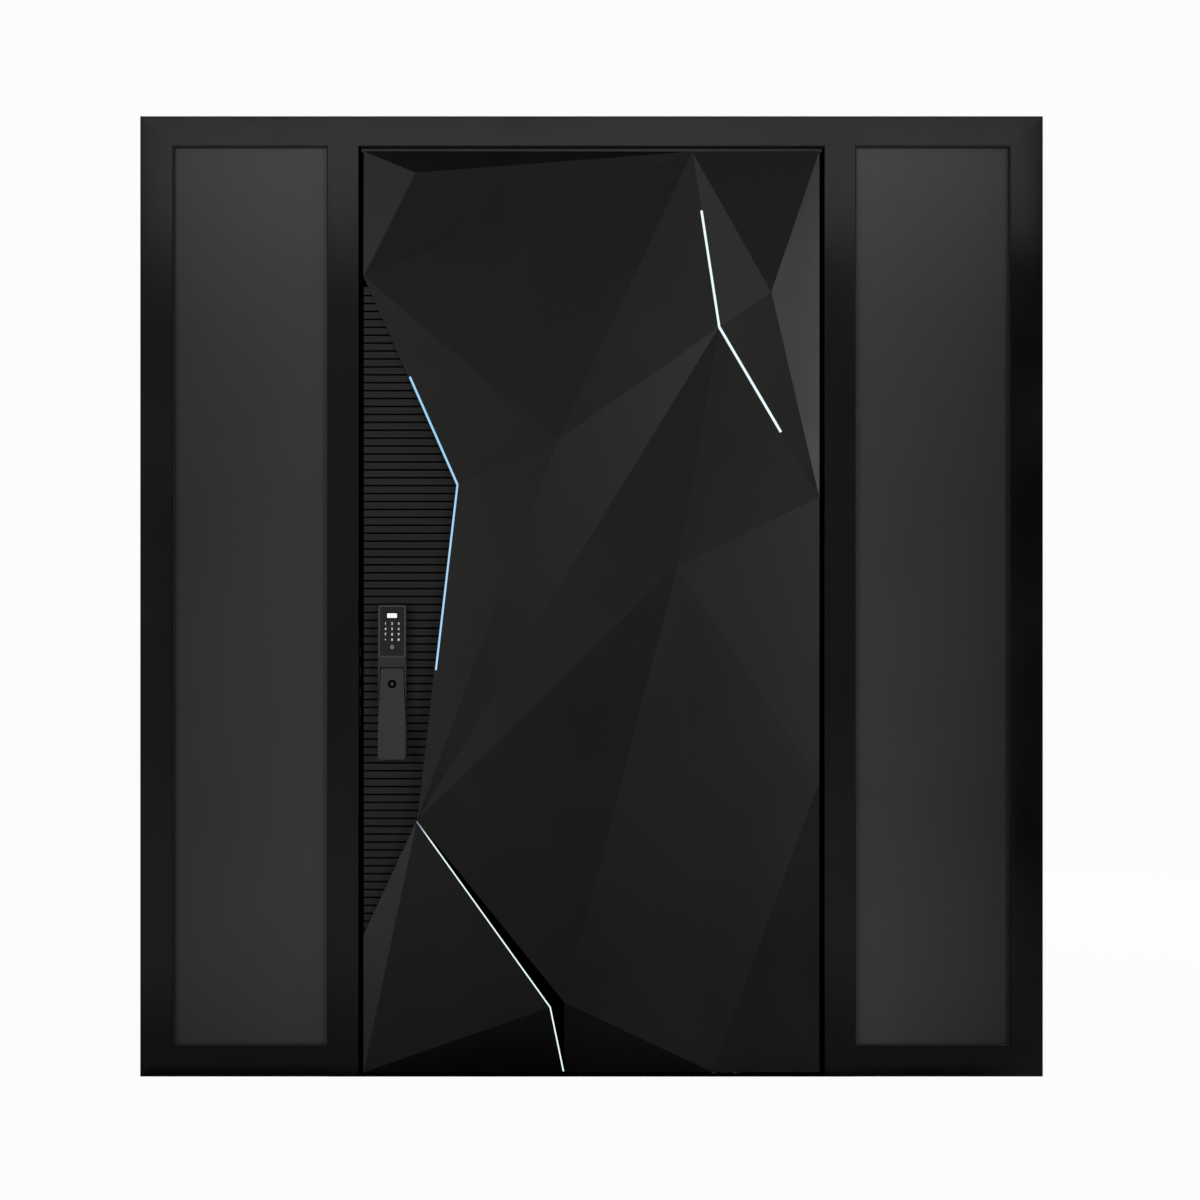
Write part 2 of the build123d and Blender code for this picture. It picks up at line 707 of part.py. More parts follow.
# Round sensor in the grip's face, square to the slope of the face
grip_slope = (grip_back_foot - grip_bottom_depth - grip_back_top + grip_top_depth) / grip_height
grip_tilt = degrees(atan2(grip_slope, 1))
sensor_y = grip_back_top - grip_top_depth + grip_slope * sensor_from_top
sensor_place = Pos(lock_x, sensor_y, grip_top - sensor_from_top) * Rot(X=90 + grip_tilt)
sensor_seat = sensor_place * Pos(0, 0, -sensor_depth / 2) * Cylinder(sensor_radius, sensor_depth)
ring_place = sensor_place * Pos(0, 0, -sensor_ring_depth / 2)
ring_step = ring_place * Cylinder(sensor_radius, sensor_ring_depth)
button_top = ring_place * Cylinder(sensor_button_radius, sensor_ring_depth)
nodes["lock_grip"] = grip - sensor_seat
nodes["sensor_button"] = sensor_seat - (ring_step - button_top)

# Lock inside
inner_lock_z = (lock_middle_height - inner_lock_height / 2, lock_middle_height + inner_lock_height / 2)
inner_lock_x = (lock_x - inner_lock_width / 2, lock_x + inner_lock_width / 2)
inner_lock_back = leaf_back + inner_lock_depth
inner_lock = block(inner_lock_x, (leaf_back, inner_lock_back), inner_lock_z)
inner_lock = fillet(inner_lock.faces().sort_by(Axis.Y)[-1].edges(), inner_lock_fillet)
turn_place = Pos(lock_x, inner_lock_back, inner_lock_z[1] - turn_from_top) * Rot(X=-90)
turn_disc = Pos(0, 0, turn_depth / 2) * Cylinder(turn_radius, turn_depth)
turn_bar = Pos(0, 0, turn_depth + turn_bar_depth / 2) * Box(turn_bar_width, 2 * turn_radius, turn_bar_depth)
turn_bar &= Pos(0, 0, turn_depth + turn_bar_depth / 2) * Cylinder(turn_radius, turn_bar_depth)
nodes["inner_lock_body"] = inner_lock
nodes["thumb_turn"] = turn_place * (turn_disc + turn_bar)

os.makedirs("parts", exist_ok=True)
for name, shape in nodes.items():
    export_step(shape, f"parts/{name}.step")
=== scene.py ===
"""Dresses the pivot door: box frame, frosted side windows, faceted leaf, light strips and keypad lock."""

import logging
from dataclasses import dataclass, replace
from enum import Enum
from functools import cache
from math import pi, radians

import bmesh
import bpy
from mathutils import Matrix, Vector


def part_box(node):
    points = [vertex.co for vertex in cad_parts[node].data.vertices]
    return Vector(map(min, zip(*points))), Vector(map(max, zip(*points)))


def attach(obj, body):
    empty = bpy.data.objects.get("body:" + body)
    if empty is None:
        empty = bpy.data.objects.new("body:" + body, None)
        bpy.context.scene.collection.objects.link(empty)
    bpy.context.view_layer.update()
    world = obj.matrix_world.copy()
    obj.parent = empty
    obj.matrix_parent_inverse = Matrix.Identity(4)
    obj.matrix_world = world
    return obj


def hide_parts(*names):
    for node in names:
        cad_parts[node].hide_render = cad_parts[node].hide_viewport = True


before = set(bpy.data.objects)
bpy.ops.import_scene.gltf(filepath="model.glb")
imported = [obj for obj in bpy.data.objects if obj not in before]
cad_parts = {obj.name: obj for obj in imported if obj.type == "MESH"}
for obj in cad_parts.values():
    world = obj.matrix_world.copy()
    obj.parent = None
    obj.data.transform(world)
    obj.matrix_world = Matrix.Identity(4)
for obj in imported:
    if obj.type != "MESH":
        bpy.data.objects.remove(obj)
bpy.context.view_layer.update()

log = logging.getLogger("pivot_door")

MM = 0.001
MERGE_DISTANCE = 0.00001
FLAT_ANGLE = radians(0.4)
SHARP_ANGLE = radians(30.0)
SQUARE_ANGLE = radians(60.0)
SMOOTH_DEGREES = 40.0
SCREW_SMOOTH_DEGREES = 35.0
SQUARE_ON = 0.9
ORDER_WAY = Vector((1.0, 0.37, 0.083))
EVEN_INSET = {"use_even_offset": True, "use_boundary": True}
NOISE_SPAN = (0.3, 0.7)
NUMBER_SOCKET = "NodeSocketFloat"
COLOUR_SOCKET = "NodeSocketColor"
VECTOR_SOCKET = "NodeSocketVector"

Colour = tuple[float, float, float]
Place = tuple[float, float, float]
Span = tuple[float, float]
Shape = bmesh.types.BMesh
Piece = bpy.types.Object
Socket = bpy.types.NodeSocket
SocketValue = Socket | float | tuple
Inputs = dict[str | int, SocketValue]


class Body(str, Enum):
    """The bodies that pieces ride on."""

    FRAME = "frame"
    LEAF = "leaf"
    GRIP = "grip"


class Slot(str, Enum):
    """The material slots that finishes belong to."""

    FRAME_PAINT = "frame_paint"
    BEAD_PAINT = "bead_paint"
    LEAF_PAINT = "leaf_paint"
    LEAF_EDGE_PAINT = "leaf_edge_paint"
    RIB_PAINT = "rib_paint"
    THRESHOLD_METAL = "threshold_metal"
    WINDOW_GLASS = "window_glass"
    GASKET_RUBBER = "gasket_rubber"
    HARDWARE_STEEL = "hardware_steel"
    BLUE_LIGHT = "blue_light"
    WHITE_LIGHT = "white_light"
    LOCK_METAL = "lock_metal"
    KEYPAD_GLOSS = "keypad_gloss"


class Run(Enum):
    """The way that brush lines run on a metal."""

    ACROSS = (0.04, 1.0, 1.0)
    UPRIGHT = (1.0, 1.0, 0.04)


class NodeSheet:
    """Adds, sets and joins the nodes of one tree."""

    def __init__(self, tree: bpy.types.NodeTree) -> None:
        """Starts on an empty tree.

        Args:
            tree: The node tree of a material, a world or a group.
        """
        self.tree = tree
        self.tree.nodes.clear()

    def add(self, kind: str, inputs: Inputs | None = None, **settings) -> bpy.types.Node:
        """Adds a node.

        Args:
            kind: The node's type.
            inputs: Values for its sockets, or the sockets that feed them, by name or number.
            **settings: Values for the node's own options.

        Returns:
            The node.
        """
        node = self.tree.nodes.new(kind)
        for name, value in settings.items():
            setattr(node, name, value)
        for key, value in (inputs or {}).items():
            if isinstance(value, Socket):
                self.tree.links.new(value, node.inputs[key])
            else:
                node.inputs[key].default_value = value
        return node

    def math(self, operation: str, first: SocketValue, second: SocketValue) -> Socket:
        """Joins two numbers.

        Args:
            operation: The sum to work out.
            first: A number or the socket that gives it.
            second: A number or the socket that gives it.

        Returns:
            The socket of the result.
        """
        return self.add("ShaderNodeMath", {0: first, 1: second}, operation=operation).outputs[0]

    def shifted(self, start: SocketValue, value: Socket, amount: SocketValue) -> Socket:
        """Adds a share of a value to a starting number."""
        return self.math("ADD", self.math("MULTIPLY", value, amount), start)

    def ramp(
        self,
        value: Socket,
        span: Span,
        start: SocketValue = 0.0,
        end: SocketValue = 1.0,
        kind: str = "LINEAR",
    ) -> Socket:
        """A level that changes while a value crosses a span.

        Args:
            value: The value, such as one coordinate of a place.
            span: Where the change starts and ends.
            start: The level before the span.
            end: The level after it.
            kind: The way that the level changes.

        Returns:
            The socket of the level.
        """
        inputs = {"Value": value, "From Min": span[0], "From Max": span[1], "To Min": start, "To Max": end}
        return self.add("ShaderNodeMapRange", inputs, interpolation_type=kind).outputs["Result"]

    def spread(self, value: Socket) -> Socket:
        """Stretches a noise's middle values to run from -1 to 1."""
        return self.ramp(value, NOISE_SPAN, -1.0, 1.0)

    def noise(self, scale: SocketValue, detail: float, stretch: SocketValue = (1.0, 1.0, 1.0)) -> Socket:
        """Adds a noise on the piece's own coordinates.

        Args:
            scale: Its scale, for one metre.
            detail: Its number of octaves.
            stretch: The scale along each axis before the noise.

        Returns:
            The socket of the noise's value.
        """
        where = self.add("ShaderNodeTexCoord").outputs["Object"]
        turned = self.add("ShaderNodeMapping", {"Vector": where, "Scale": stretch})
        inputs = {"Vector": turned.outputs["Vector"], "Scale": scale, "Detail": detail}
        return self.add("ShaderNodeTexNoise", inputs).outputs["Fac"]

    def axes(self, source: str = "Object") -> bpy.types.NodeOutputs:
        """The coordinates of the place or direction that is shaded, by axis."""
        where = self.add("ShaderNodeTexCoord").outputs[source]
        return self.add("ShaderNodeSeparateXYZ", {0: where}).outputs

    def mixed(self, share: Socket, first: SocketValue, second: SocketValue) -> Socket:
        """Goes from one number to another by a share."""
        return self.add("ShaderNodeMix", {0: share, 2: first, 3: second}).outputs[0]

    def blend(self, share: Socket, first: SocketValue, second: SocketValue) -> Socket:
        """Goes from one colour to another by a share."""
        return self.add("ShaderNodeMix", {0: share, 6: first, 7: second}, data_type="RGBA").outputs[2]

    def shade(self, colour: SocketValue, amount: SocketValue) -> Socket:
        """Makes a colour lighter or darker.

        Args:
            colour: The colour or the socket that gives it.
            amount: A factor for its brightness.

        Returns:
            The socket of the result.
        """
        grey = self.add("ShaderNodeCombineColor", {0: amount, 1: amount, 2: amount})
        inputs = {0: 1.0, 6: colour, 7: grey.outputs["Color"]}
        return self.add("ShaderNodeMix", inputs, data_type="RGBA", blend_type="MULTIPLY").outputs[2]

    def bump(self, height: Socket, strength: float) -> Socket:
        """Turns a height into a normal."""
        inputs = {"Height": height, "Strength": strength, "Distance": MM}
        return self.add("ShaderNodeBump", inputs).outputs["Normal"]


class SharedEffects:
    """Node groups that several finishes share, each built once."""

    surface_inputs = {
        "Colour": COLOUR_SOCKET,
        "Shade Shift": NUMBER_SOCKET,
        "Roughness": NUMBER_SOCKET,
        "Gloss Shift": NUMBER_SOCKET,
    }
    surface_outputs = {"Colour": COLOUR_SOCKET, "Roughness": NUMBER_SOCKET, "Height": NUMBER_SOCKET}
    cloud_scale = 4.5
    patch_scale = 6.0
    patch_stretch = (1.0, 1.0, 0.5)
    line_scale = 900.0
    speck_scale = 160.0
    speck_span = (0.3, 0.8)
    ledge_span = (0.75, 1.0)

    def start(
        self, name: str, inputs: dict[str, str], outputs: dict[str, str]
    ) -> tuple[NodeSheet, bpy.types.NodeOutputs]:
        """Starts a group with its named sockets.

        Args:
            name: The group's name.
            inputs: The kind of each input socket.
            outputs: The kind of each output socket.

        Returns:
            A sheet for the group's nodes, and the sockets that give its inputs.
        """
        tree = bpy.data.node_groups.new(name, "ShaderNodeTree")
        for label, kind in inputs.items():
            tree.interface.new_socket(label, in_out="INPUT", socket_type=kind)
        for label, kind in outputs.items():
            tree.interface.new_socket(label, in_out="OUTPUT", socket_type=kind)
        sheet = NodeSheet(tree)
        return sheet, sheet.add("NodeGroupInput").outputs

    def close(
        self, sheet: NodeSheet, given: bpy.types.NodeOutputs, shade: Socket, gloss: Socket, height: Socket
    ) -> bpy.types.NodeTree:
        """Ends the group of a surface.

        Args:
            sheet: The group's node sheet.
            given: The sockets that give its inputs.
            shade: What shifts the colour's brightness.
            gloss: What shifts the roughness.
            height: The height of the surface.

        Returns:
            The group.
        """
        factor = sheet.shifted(1.0, shade, given["Shade Shift"])
        roughness = sheet.shifted(given["Roughness"], gloss, given["Gloss Shift"])
        results = {"Colour": sheet.shade(given["Colour"], factor), "Roughness": roughness, "Height": height}
        sheet.add("NodeGroupOutput", results)
        return sheet.tree

    @cache
    def paint_grain(self) -> bpy.types.NodeTree:
        """Sprayed paint: a faint cloud in its shade and gloss, and a fine grain.

        Returns:
            The group.
        """
        inputs = {**self.surface_inputs, "Grain Scale": NUMBER_SOCKET}
        sheet, given = self.start("paint_grain", inputs, self.surface_outputs)
        cloud = sheet.spread(sheet.noise(self.cloud_scale, 5.0))
        patch = sheet.spread(sheet.noise(self.patch_scale, 3.0, self.patch_stretch))
        return self.close(sheet, given, cloud, patch, sheet.noise(given["Grain Scale"], 2.0))

    @cache
    def brush_lines(self) -> bpy.types.NodeTree:
        """Brushed metal: fine lines in its shade, gloss and height.

        Returns:
            The group.
        """
        inputs = {**self.surface_inputs, "Stretch": VECTOR_SOCKET}
        sheet, given = self.start("brush_lines", inputs, self.surface_outputs)
        lines = sheet.spread(sheet.noise(self.line_scale, 3.0, given["Stretch"]))
        return self.close(sheet, given, lines, lines, lines)

    @cache
    def settled_dust(self) -> bpy.types.NodeTree:
        """A trace of dust on faces that look up.

        Returns:
            The group.
        """
        inputs = {"Colour": COLOUR_SOCKET, "Dust Colour": COLOUR_SOCKET, "Amount": NUMBER_SOCKET}
        sheet, given = self.start("settled_dust", inputs, {"Colour": COLOUR_SOCKET})
        normal = sheet.add("ShaderNodeNewGeometry").outputs["Normal"]
        upward = sheet.add("ShaderNodeSeparateXYZ", {0: normal}).outputs["Z"]
        ledge = sheet.ramp(upward, self.ledge_span)
        specks = sheet.ramp(sheet.noise(self.speck_scale, 5.0), self.speck_span)
        mask = sheet.math("MULTIPLY", sheet.math("MULTIPLY", ledge, specks), given["Amount"])
        dusty = sheet.blend(mask, given["Colour"], given["Dust Colour"])
        sheet.add("NodeGroupOutput", {"Colour": dusty})
        return sheet.tree


EFFECTS = SharedEffects()
DUST_COLOUR = (0.16, 0.155, 0.145, 1.0)
WARM_GLOSS = (1.0, 0.995, 0.945, 1.0)
GLASS_GLOSS = (1.0, 0.997, 0.97, 1.0)
UNLIT_COLOUR = (0.02, 0.02, 0.02, 1.0)


@dataclass(frozen=True)
class Finish:
    """What every finish has: a name, the slot that it belongs to and its plain colour."""

    name: str
    slot: Slot
    colour: Colour

    def rgba(self) -> tuple[float, float, float, float]:
        """The colour with full cover."""
        return (*self.colour, 1.0)

    def material(self) -> bpy.types.Material:
        """Builds the material on first use.

        Returns:
            The material.
        """
        made = bpy.data.materials.get(self.name)
        if made is None:
            made = bpy.data.materials.new(self.name)
            made.use_nodes = True
            made.diffuse_color = self.rgba()
            self.draw(NodeSheet(made.node_tree))
        return made

    def draw(self, sheet: NodeSheet) -> None:
        """Adds the finish's nodes.

        Args:
            sheet: The material's node sheet.
        """
        raise NotImplementedError

    def close(self, sheet: NodeSheet, inputs: Inputs) -> None:
        """Adds the shader and joins it to the material's output.

        Args:
            sheet: The material's node sheet.
            inputs: The shader's values, or the sockets that feed them.
        """
        shader = sheet.add("ShaderNodeBsdfPrincipled", inputs)
        sheet.add("ShaderNodeOutputMaterial", {"Surface": shader.outputs[0]})


@dataclass(frozen=True)
class Paint(Finish):
    """Sprayed paint or moulded plastic with a faint cloud and a fine grain."""

    roughness: float = 0.4
    gloss: float = 0.1
    cloud: float = 0.06
    gloss_shift: float = 0.03
    grain_scale: float = 900.0
    grain_depth: float = 0.02
    dust: float = 0.15

    def draw(self, sheet: NodeSheet) -> None:
        """Adds the paint's nodes.

        Args:
            sheet: The material's node sheet.
        """
        inputs = {"Colour": self.rgba(), "Shade Shift": self.cloud, "Roughness": self.roughness}
        inputs.update({"Gloss Shift": self.gloss_shift, "Grain Scale": self.grain_scale})
        grain = sheet.add("ShaderNodeGroup", inputs, node_tree=EFFECTS.paint_grain()).outputs
        inputs = {"Colour": grain["Colour"], "Dust Colour": DUST_COLOUR, "Amount": self.dust}
        dust = sheet.add("ShaderNodeGroup", inputs, node_tree=EFFECTS.settled_dust()).outputs
        inputs = {"Base Color": dust["Colour"], "Roughness": grain["Roughness"]}
        inputs["Normal"] = sheet.bump(grain["Height"], self.grain_depth)
        self.close(sheet, {**inputs, "Specular IOR Level": self.gloss, "Specular Tint": WARM_GLOSS})


@dataclass(frozen=True)
class Metal(Finish):
    """Brushed metal."""

    roughness: float = 0.35
    metallic: float = 1.0
    gloss: float = 0.5
    streak: float = 0.12
    gloss_shift: float = 0.05
    run: Run = Run.UPRIGHT
    line_depth: float = 0.02

    def draw(self, sheet: NodeSheet) -> None:
        """Adds the metal's nodes.

        Args:
            sheet: The material's node sheet.
        """
        inputs = {"Colour": self.rgba(), "Shade Shift": self.streak, "Roughness": self.roughness}
        inputs.update({"Gloss Shift": self.gloss_shift, "Stretch": self.run.value})
        lines = sheet.add("ShaderNodeGroup", inputs, node_tree=EFFECTS.brush_lines()).outputs
        inputs = {"Base Color": lines["Colour"], "Roughness": lines["Roughness"], "Metallic": self.metallic}
        inputs["Normal"] = sheet.bump(lines["Height"], self.line_depth)
        self.close(sheet, {**inputs, "Specular IOR Level": self.gloss, "Specular Tint": WARM_GLOSS})


@dataclass(frozen=True)
class Frosted(Finish):
    """Dark etched glass: light passes but nothing shows through it; painted light and shade make it lighter
    towards the door and darker towards its outer edge.
    """

    roughness: float = 0.4
    gloss: float = 0.25
    passes: float = 0.5
    ior: float = 1.45
    cloud: float = 0.08
    cloud_scale: float = 2.2
    etch_scale: float = 1500.0
    etch_depth: float = 0.1
    etch_gloss: float = 0.1
    painted_shade_span: Span = (0.74, 1.08)
    inner_painted_light: float = 1.17
    outer_painted_shade: float = 0.8

    def draw(self, sheet: NodeSheet) -> None:
        """Adds the glass's nodes.

        Args:
            sheet: The material's node sheet.
        """
        factor = sheet.shifted(1.0, sheet.spread(sheet.noise(self.cloud_scale, 3.0)), self.cloud)
        # Painted light and shade: the colour is lightened near the door and darkened towards the window's
        # outer edge, by the distance from the door's middle.
        aside = sheet.math("ABSOLUTE", sheet.axes()["X"], 0.0)
        painted_light_and_shade = sheet.ramp(aside, self.painted_shade_span, self.inner_painted_light, self.outer_painted_shade)
        colour = sheet.shade(self.rgba(), sheet.math("MULTIPLY", factor, painted_light_and_shade))
        etch = sheet.noise(self.etch_scale, 2.0)
        roughness = sheet.shifted(self.roughness - self.etch_gloss / 2, etch, self.etch_gloss)
        inputs = {"Base Color": colour, "Roughness": roughness, "Normal": sheet.bump(etch, self.etch_depth)}
        inputs.update({"Specular IOR Level": self.gloss, "Specular Tint": GLASS_GLOSS})
        self.close(sheet, {**inputs, "IOR": self.ior, "Transmission Weight": self.passes})


@dataclass(frozen=True)
class Glow(Finish):
    """A lit surface whose colour shifts along its height."""

    top_colour: Colour = (1.0, 1.0, 1.0)
    low: float = 0.0
    high: float = 1.0
    strength: float = 1.0
    speckle: float = 0.03
    speckle_scale: float = 260.0

    def draw(self, sheet: NodeSheet) -> None:
        """Adds the light's nodes.

        Args:
            sheet: The material's node sheet.
        """
        share = sheet.ramp(sheet.axes()["Z"], (self.low, self.high), kind="SMOOTHSTEP")
        colour = sheet.blend(share, self.rgba(), (*self.top_colour, 1.0))
        specks = sheet.spread(sheet.noise(self.speckle_scale, 2.0))
        lit = sheet.shade(colour, sheet.shifted(1.0 - self.speckle, specks, self.speckle))
        inputs = {"Base Color": UNLIT_COLOUR, "Roughness": 0.5, "Specular IOR Level": 0.1}
        self.close(sheet, {**inputs, "Emission Color": lit, "Emission Strength": self.strength})


FRAME_PAINT = Paint(
    "frame_satin", Slot.FRAME_PAINT, (0.002, 0.002, 0.0019), roughness=0.137, gloss=0.24, cloud=0.3
)
# Painted shade: a black matt copy of the frame paint on the members' outer chamfers and tops.
EDGE_PAINTED_SHADE = Paint("frame_edge_painted_shade", Slot.FRAME_PAINT, (0.0006, 0.0006, 0.0006), roughness=0.5, gloss=0.0)
# Painted light: a lighter copy of the frame paint on the head's underside over the doorway.
LINTEL_PAINTED_LIGHT = Paint("frame_lintel_painted_light", Slot.FRAME_PAINT, (0.05, 0.05, 0.0475), roughness=0.5, gloss=0.05)
# Painted shade: a black matt copy of the frame paint on the members' sides in the doorway, where shade falls
# in the gap.
REVEAL_PAINTED_SHADE = Paint("frame_reveal_painted_shade", Slot.FRAME_PAINT, (0.001, 0.001, 0.0009), roughness=0.5, gloss=0.0)
# Painted light: the beads are a lighter copy of the frame paint, which fills the shade at the glass's edge.
BEAD_PAINT = Paint("bead_painted_light", Slot.BEAD_PAINT, (0.011, 0.011, 0.0103), roughness=0.35, gloss=0.15)
LEAF_PAINT = Paint("leaf_satin", Slot.LEAF_PAINT, (0.0012, 0.0012, 0.0011), gloss=0.2, cloud=0.6)
LEAF_RIM = Paint("leaf_rim_satin", Slot.LEAF_EDGE_PAINT, (0.001, 0.001, 0.0009), roughness=0.137, gloss=0.22)
LEAF_EDGE = Paint("leaf_edge_matt", Slot.LEAF_EDGE_PAINT, (0.001, 0.001, 0.0009), roughness=0.5, gloss=0.0)
# Painted shade: a black matt copy of the rim paint on the front sheet below its top band.
LEAF_PAINTED_SHADE = Paint("leaf_side_painted_shade", Slot.LEAF_EDGE_PAINT, (0.0008, 0.0008, 0.0008), roughness=0.5, gloss=0.0)
RIB_PAINT = Paint("rib_matt", Slot.RIB_PAINT, (0.0065, 0.0065, 0.006), gloss=0.2)
# Painted shade: black matt between the ribs, where shade falls in the grooves.
GROOVE_PAINTED_SHADE = Paint("rib_groove_painted_shade", Slot.RIB_PAINT, (0.0004, 0.0004, 0.0004), roughness=0.6, gloss=0.02)
BACK_PAINT = Paint("back_matt", Slot.LEAF_EDGE_PAINT, (0.014, 0.014, 0.0133), roughness=0.42, gloss=0.2)
CHANNEL = Paint("light_channel_black", Slot.LEAF_EDGE_PAINT, (0.001, 0.001, 0.001), roughness=0.5, gloss=0.04)
RUBBER = Paint(
    "seal_rubber", Slot.GASKET_RUBBER, (0.002, 0.002, 0.002), roughness=0.7, gloss=0.0, grain_depth=0.1
)
# Painted light: the window gaskets are a lighter copy of the seal rubber, which fills the shade at the
# glass's edge.
GASKET = Paint("window_gasket_painted_light", Slot.GASKET_RUBBER, (0.013, 0.013, 0.0123), roughness=0.6, grain_depth=0.1)
KEYPAD = Paint("keypad_satin", Slot.KEYPAD_GLOSS, (0.013, 0.013, 0.0122), roughness=0.3, gloss=0.12)
SENSOR_BLACK = Paint("sensor_black", Slot.KEYPAD_GLOSS, (0.0006, 0.0006, 0.0006), gloss=0.0)
THRESHOLD = Metal(
    "threshold_anodised",
    Slot.THRESHOLD_METAL,
    (0.001, 0.001, 0.0009),
    metallic=0.0,
    gloss=0.0,
    run=Run.ACROSS,
)
STEEL = Metal("brushed_steel", Slot.HARDWARE_STEEL, (0.52, 0.51, 0.49), roughness=0.32)
PIVOT_METAL = Metal("pivot_blackened", Slot.HARDWARE_STEEL, (0.02, 0.02, 0.019), roughness=0.4)
LOCK_METAL = Metal(
    "lock_anodised", Slot.LOCK_METAL, (0.02, 0.02, 0.0188), metallic=0.0, gloss=0.15, roughness=0.4
)
GRIP_METAL = Metal("grip_anodised", Slot.LOCK_METAL, (0.026, 0.0255, 0.0243), metallic=0.0, gloss=0.16)
LOCK_RIM = Metal("lock_rim_anodised", Slot.LOCK_METAL, (0.036, 0.0355, 0.034), metallic=0.0, gloss=0.2)
LEFT_GLASS = Frosted(
    "left_frosted_glass", Slot.WINDOW_GLASS, (0.024, 0.024, 0.0236), roughness=0.18, gloss=0.325, passes=0.15
)
# The right pane gets more painted light near the door and more painted shade at its outer edge than the left.
RIGHT_GLASS = replace(LEFT_GLASS, name="right_frosted_glass", inner_painted_light=1.22, outer_painted_shade=0.62)
KEY_PRINT = Glow("key_print", Slot.WHITE_LIGHT, (0.8, 0.8, 0.78), (0.84, 0.84, 0.82), 1.1, 1.2)
ICON_PRINT = Glow("icon_print", Slot.WHITE_LIGHT, (0.33, 0.33, 0.32), (0.35, 0.35, 0.34), 1.1, 1.12)
DISPLAY = Glow("display_lit", Slot.WHITE_LIGHT, (0.93, 0.93, 0.92), (0.95, 0.95, 0.94), 1.18, 1.21)
BLUE_LIGHT = Glow("blue_strip", Slot.BLUE_LIGHT, (0.4, 0.68, 0.95), (0.33, 0.64, 0.91), 1.45, 1.62)
COOL_LIGHT = Glow("cool_strip", Slot.WHITE_LIGHT, (0.84, 0.97, 0.99), (0.86, 0.97, 0.99), 1.7, 2.25)
LOW_LIGHT = Glow("low_strip", Slot.WHITE_LIGHT, (0.83, 0.95, 0.96), (0.14, 0.2, 0.3), 0.612, 0.668, 1.1)


def linked_object(shape: Shape, name: str) -> Piece:
    """Turns a shape into an object at the origin.

    Args:
        shape: The shape, which is freed.
        name: The object's name.

    Returns:
        The object.
    """
    mesh = bpy.data.meshes.new(name)
    shape.to_mesh(mesh)
    shape.free()
    made = bpy.data.objects.new(name, mesh)
    bpy.context.scene.collection.objects.link(made)
    return made


def sharp_edges(shape: Shape, angle: float) -> list[bmesh.types.BMEdge]:
    """The edges of a shape whose faces meet at more than an angle."""
    return [e for e in shape.edges if e.is_manifold and e.calc_face_angle(0.0) > angle]


def soften(shape: Shape, geom: list, width: float, segments: int = 2, affect: str = "EDGES") -> None:
    """Rounds edges or corners of a shape.

    Args:
        shape: The shape.
        geom: The edges or corners.
        width: The width of the rounding, in metres.
        segments: The steps of the rounding.
        affect: What is rounded: edges or vertices.
    """
    bmesh.ops.bevel(
        shape,
        geom=geom,
        offset=width,
        offset_type="OFFSET",
        segments=segments,
        profile=0.5,
        affect=affect,
        clamp_overlap=True,
        material=-1,
    )


def sort_by_place(shape: Shape) -> None:
    """Puts a shape's elements in an order that is the same each run."""
    shape.verts.sort(key=lambda vert: vert.co.dot(ORDER_WAY))
    shape.edges.sort(key=lambda edge: (edge.verts[0].co + edge.verts[1].co).dot(ORDER_WAY))
    shape.faces.sort(key=lambda face: face.calc_center_median().dot(ORDER_WAY))


def shift_new(shape: Shape, grown: dict[str, list], way: Place) -> None:
    """Moves the corners that an extrusion added, and sorts the shape.

    Args:
        shape: The shape.
        grown: What the extrusion gave back.
        way: The move.
    """
    corners = [item for item in grown["geom"] if isinstance(item, bmesh.types.BMVert)]
    bmesh.ops.translate(shape, verts=corners, vec=way)
    sort_by_place(shape)


def face_front(shape: Shape) -> None:
    """Turns a shape that looks up so that it looks along -Y."""
    bmesh.ops.rotate(shape, verts=shape.verts, cent=(0.0, 0.0, 0.0), matrix=Matrix.Rotation(pi / 2, 3, "X"))


def at_height(edge: bmesh.types.BMEdge, height: float) -> bool:
    """Whether both ends of an edge lie at a height."""
    return all(abs(vert.co.z - height) < MERGE_DISTANCE for vert in edge.verts)


def rounded_plate(width: float, height: float, depth: float, corner: float, edge: float) -> Shape:
    """A plate with rounded corners and a softened front edge, facing -Y with its back on the plane y = 0.

    Args:
        width: Its size along X.
        height: Its size along Z.
        depth: Its thickness.
        corner: The radius of its corners.
        edge: The width of the softening round its front.

    Returns:
        The shape.
    """
    shape = bmesh.new()
    bmesh.ops.create_grid(shape, x_segments=1, y_segments=1, size=0.5)
    bmesh.ops.scale(shape, verts=shape.verts, vec=(width, height, 1.0))
    soften(shape, shape.verts[:], corner, 6, "VERTICES")
    shift_new(shape, bmesh.ops.extrude_face_region(shape, geom=shape.faces[:]), (0.0, 0.0, depth))
    bmesh.ops.recalc_face_normals(shape, faces=shape.faces)
    if edge > 0:
        soften(shape, [e for e in shape.edges if at_height(e, depth)], edge)
    face_front(shape)
    return shape


